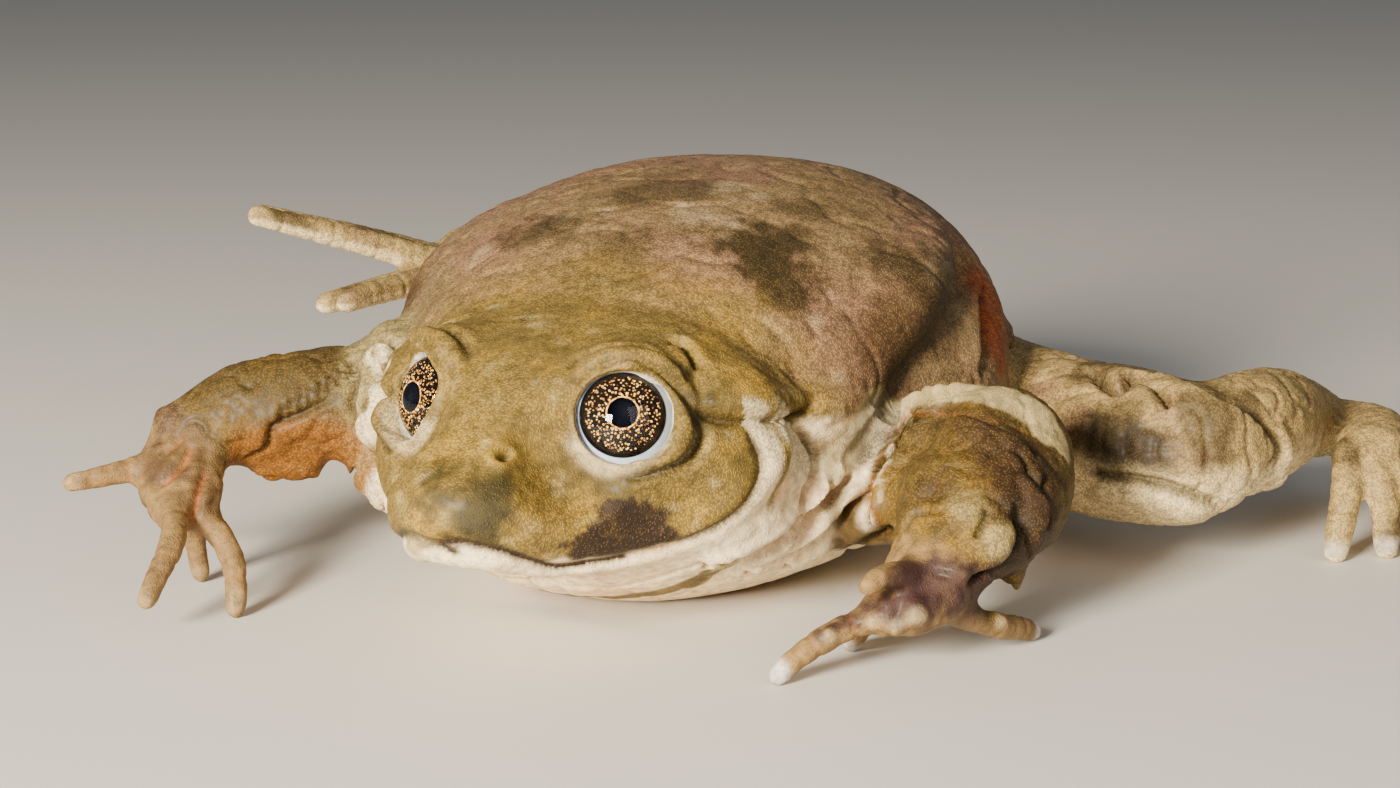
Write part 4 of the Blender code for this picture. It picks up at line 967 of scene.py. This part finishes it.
moist = {
    "Subsurface Weight": 0.08, "Subsurface Radius": (1.0, 0.45, 0.25), "Subsurface Scale": 0.0015,
    "Specular IOR Level": 0.26, "Coat Weight": 0.05, "Coat Roughness": 0.3,
}
for key, value in moist.items():
    skin_shader.inputs[key].default_value = value
skin.data.materials.clear()
skin.data.materials.append(skin_material)


# The eyes
# Each is a firm wet ball: a round blue-black pupil with a thin gold ring, an iris of black crowded with gold
# and bronze grains, a dark outer ring and blue-white ball round it, all under a clear cornea that bulges.

BALL_RADIUS, BALL_FROM = 5.14, (4.05, 4.15)  # the pale ball begins this far from the eye's axis
PUPIL_RADIUS, IRIS_RADIUS = 1.36, 3.8
PUPIL_PLANE, IRIS_PLANE = 4.1, 3.5
CORNEA_RADIUS, CORNEA_EDGE, CORNEA_GAP = 5.3, 4.75, 0.05
GAZE = {1: (math.radians(29.0), math.radians(24.0)), -1: (math.radians(30.0), math.radians(13.0))}
GRAIN, GRAIN_CLOUD = 0.26, 0.30
GRAIN_GOLD, GRAIN_PALE, GRAIN_BRONZE = "#B58332", "#EBCB82", "#6E3A18"

# How crowded the grains are, by distance from the eye's axis in mm: a full ring at the pupil, then the iris.
GRAIN_SHARES = [
    (1.37, 0.0), (1.40, 1.0), (1.48, 1.0), (1.54, 0.40), (2.3, 0.40), (2.6, 0.26), (2.9, 0.38), (3.5, 0.34),
    (3.66, 0.0),
]
EYE_BLACK, PUPIL_BLUE, BALL_WHITE = "#0A0706", "#04050C", "#AEB9CC"
ROUND_STEPS = 192


def turned_form(name, profile, place, facing):
    """A closed body turned about the way an eye faces, from (radius, height) pairs from axis to axis."""
    form = bmesh.new()
    rings = []
    for radius, height in profile:
        if radius == 0:
            rings.append([form.verts.new((0, 0, height))])
        else:
            rings.append([form.verts.new((radius * math.cos(a), radius * math.sin(a), height))
                          for a in np.arange(ROUND_STEPS) * 2 * math.pi / ROUND_STEPS])
    for a, b in zip(rings, rings[1:]):
        for k in range(ROUND_STEPS):
            corners = [a[k % len(a)], b[k % len(b)], b[(k + 1) % len(b)], a[(k + 1) % len(a)]]
            form.faces.new(list(dict.fromkeys(corners)))
    bmesh.ops.recalc_face_normals(form, faces=form.faces)
    turn = Vector(facing).to_track_quat("Z", "Y").to_matrix().to_4x4()
    bmesh.ops.transform(form, matrix=Matrix.Scale(MM, 4) @ Matrix.Translation(place) @ turn, verts=form.verts)
    mesh = bpy.data.meshes.new(name)
    form.to_mesh(mesh)
    form.free()
    mesh.shade_smooth()
    return added(name, mesh)


def sphere_profile(radius, start, end, steps):
    angles = np.linspace(start, end, steps)
    return [(radius * math.sin(a), radius * math.cos(a)) for a in angles]


def iris_height(radius):
    """How far out the iris lies at a distance from the eye's axis: a shallow cone, highest at the pupil."""
    share = (radius - PUPIL_RADIUS) / (IRIS_RADIUS - PUPIL_RADIUS)
    return PUPIL_PLANE + (IRIS_PLANE - PUPIL_PLANE) * share**1.3


iris_steps = [(r, iris_height(r)) for r in np.linspace(PUPIL_RADIUS, IRIS_RADIUS, 28)]
iris_angle = math.asin((IRIS_RADIUS + 0.1) / BALL_RADIUS)
edge_angle = math.asin(CORNEA_EDGE / BALL_RADIUS)
ball_edge = sphere_profile(BALL_RADIUS, iris_angle, edge_angle, 12)
ball_back = sphere_profile(BALL_RADIUS, edge_angle, math.pi, 60)[1:-1]
pupil_cup = [
    (0, PUPIL_PLANE - 1.1), (PUPIL_RADIUS * 0.7, PUPIL_PLANE - 1.0), (PUPIL_RADIUS - 0.02, PUPIL_PLANE - 0.7),
]
ball_profile = pupil_cup + iris_steps + ball_edge + ball_back + [(0, -BALL_RADIUS)]
cornea_front = sphere_profile(CORNEA_RADIUS, 0.02, math.asin(CORNEA_EDGE / CORNEA_RADIUS), 40)
cornea_back = [(r, z + CORNEA_GAP) for r, z in reversed(iris_steps + ball_edge)]
cornea_profile = [(0, CORNEA_RADIUS)] + cornea_front + cornea_back + [(0, PUPIL_PLANE + 0.03)]

ball_material, ball_nodes, ball_shader = new_material("speckled_iris_and_ball")
ball_node = partial(add_node, ball_nodes)
from_axis = ball_node("Attribute", {"attribute_name": "from_axis"}).outputs["Fac"]
eye_where = ball_node("TexCoord").outputs["Object"]
grains = ball_node("TexVoronoi", {"feature": "F1"}, Vector=eye_where, Scale=1 / (GRAIN * MM))
grain_noise = ball_node("TexNoise", Vector=eye_where, Scale=1 / (GRAIN_CLOUD * MM), Detail=2.0)
grain_tone = ball_node("ValToRGB", Fac=grain_noise)
tones = grain_tone.color_ramp.elements
tones[0].position, tones[0].color = 0.38, linear(GRAIN_BRONZE)
tones[1].position, tones[1].color = 0.66, linear(GRAIN_PALE)
tones.new(0.5).color = linear(GRAIN_GOLD)
crowding = ball_node("ValToRGB", Fac=from_axis)
stops = crowding.color_ramp.elements
stops[0].position, stops[0].color = 0.0, (0, 0, 0, 1)
stops[1].position, stops[1].color = 1.0, (0, 0, 0, 1)
for millimetres, share in GRAIN_SHARES:
    stops.new(millimetres / BALL_RADIUS).color = (share, share, share, 1)
grain_here = ball_node("Math", {"operation": "LESS_THAN"}, i0=grains, i1=crowding)
iris_colour = ball_node("Mix", {"data_type": "RGBA"}, i0=grain_here, i6=linear(EYE_BLACK), i7=grain_tone)
outside = ball_node(
    "MapRange", Value=from_axis, From_Min=BALL_FROM[0] / BALL_RADIUS, From_Max=BALL_FROM[1] / BALL_RADIUS,
)
ball_colour = ball_node(
    "Mix", {"data_type": "RGBA"}, i0=outside, i6=iris_colour.outputs[2], i7=linear(BALL_WHITE),
)
in_pupil = ball_node("Math", {"operation": "LESS_THAN"}, i0=from_axis, i1=PUPIL_RADIUS / BALL_RADIUS)
eye_colour = ball_node(
    "Mix", {"data_type": "RGBA"}, i0=in_pupil, i6=ball_colour.outputs[2], i7=linear(PUPIL_BLUE),
)
ball_nodes.links.new(eye_colour.outputs[2], ball_shader.inputs["Base Color"])
ball_shader.inputs["Roughness"].default_value = 0.5
ball_shader.inputs["IOR"].default_value = 1.08

cornea_material, cornea_nodes, cornea_shader = new_material("clear_wet_cornea")
clear = {"Base Color": (1, 1, 1, 1), "Transmission Weight": 1.0, "Roughness": 0.0, "IOR": 1.34}
for key, value in clear.items():
    cornea_shader.inputs[key].default_value = value
lamp_ray = add_node(cornea_nodes, "LightPath").outputs["Is Shadow Ray"]
let_through = add_node(cornea_nodes, "BsdfTransparent")
cornea_mix = add_node(cornea_nodes, "MixShader", i0=lamp_ray, i1=cornea_shader, i2=let_through)
cornea_nodes.links.new(cornea_mix.outputs["Shader"], cornea_nodes.nodes["Material Output"].inputs["Surface"])

# The cornea's inner face meets the eye's own clear fluid, so nothing bends or mirrors light there.
inner_face_material, _, inner_shader = new_material("cornea_inner_face")
inner_shader.inputs["Alpha"].default_value = 0.0

for side, name in ((1, "left"), (-1, "right")):
    gaze = eye_direction(side, *GAZE[side])
    ball = turned_form(f"eyeball_{name}", ball_profile, eye_place(side), gaze)
    ball.data.materials.append(ball_material)
    offsets = np.array([v.co for v in ball.data.vertices]) / MM - eye_place(side)
    out = offsets @ gaze
    radial = np.linalg.norm(offsets - out[:, None] * gaze, axis=1)
    reading = ball.data.attributes.new("from_axis", "FLOAT", "POINT")
    reading.data.foreach_set("value", np.where(out > 0, radial, 2 * BALL_RADIUS - radial) / BALL_RADIUS)
    cornea = turned_form(f"cornea_{name}", cornea_profile, eye_place(side), gaze)
    cornea.data.materials.append(cornea_material)
    cornea.data.materials.append(inner_face_material)
    for face in cornea.data.polygons:
        inner = (face.center / MM - Vector(eye_place(side))).length < CORNEA_RADIUS - 0.05
        face.material_index = 1 if inner else 0
    for piece in (ball, cornea):
        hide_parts(f"eye_{name}")
        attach(piece, "root")


# The studio
# A plain pale floor, a warm soft light from the front, a weaker one from the frog's left and a pale sky.

bm = bmesh.new()
bmesh.ops.create_grid(bm, x_segments=1, y_segments=1, size=3.0)
floor_mesh = bpy.data.meshes.new("floor")
bm.to_mesh(floor_mesh)
bm.free()
floor = added("floor", floor_mesh)
floor_material, _, floor_shader = new_material("pale_floor")
floor_shader.inputs["Base Color"].default_value = linear("#D8D4CC")
floor_shader.inputs["Roughness"].default_value = 0.6
floor_mesh.materials.append(floor_material)


def soft_light(name, place, target, size, watts, hex_colour):
    """A square area light that shines from one point to another, all in metres."""
    data = bpy.data.lights.new(name, "AREA")
    data.size = size
    data.energy = watts
    data.color = linear(hex_colour)[:3]
    lamp = added(name, data)
    lamp.location = place
    lamp.rotation_euler = (Vector(target) - Vector(place)).to_track_quat("-Z", "Y").to_euler()


soft_light("key", (-0.06, -0.56, 0.20), (0, -0.02, 0.02), 0.14, 13.5, "#FFF4E2")
soft_light("fill", (0.55, -0.35, 0.28), (0, 0, 0.02), 0.5, 1.3, "#FFF8F0")
world = bpy.data.worlds.new("sky")
world.use_nodes = True
background = world.node_tree.nodes["Background"]
background.inputs["Color"].default_value = linear("#E6EAF0")
background.inputs["Strength"].default_value = 0.2
bpy.context.scene.world = world
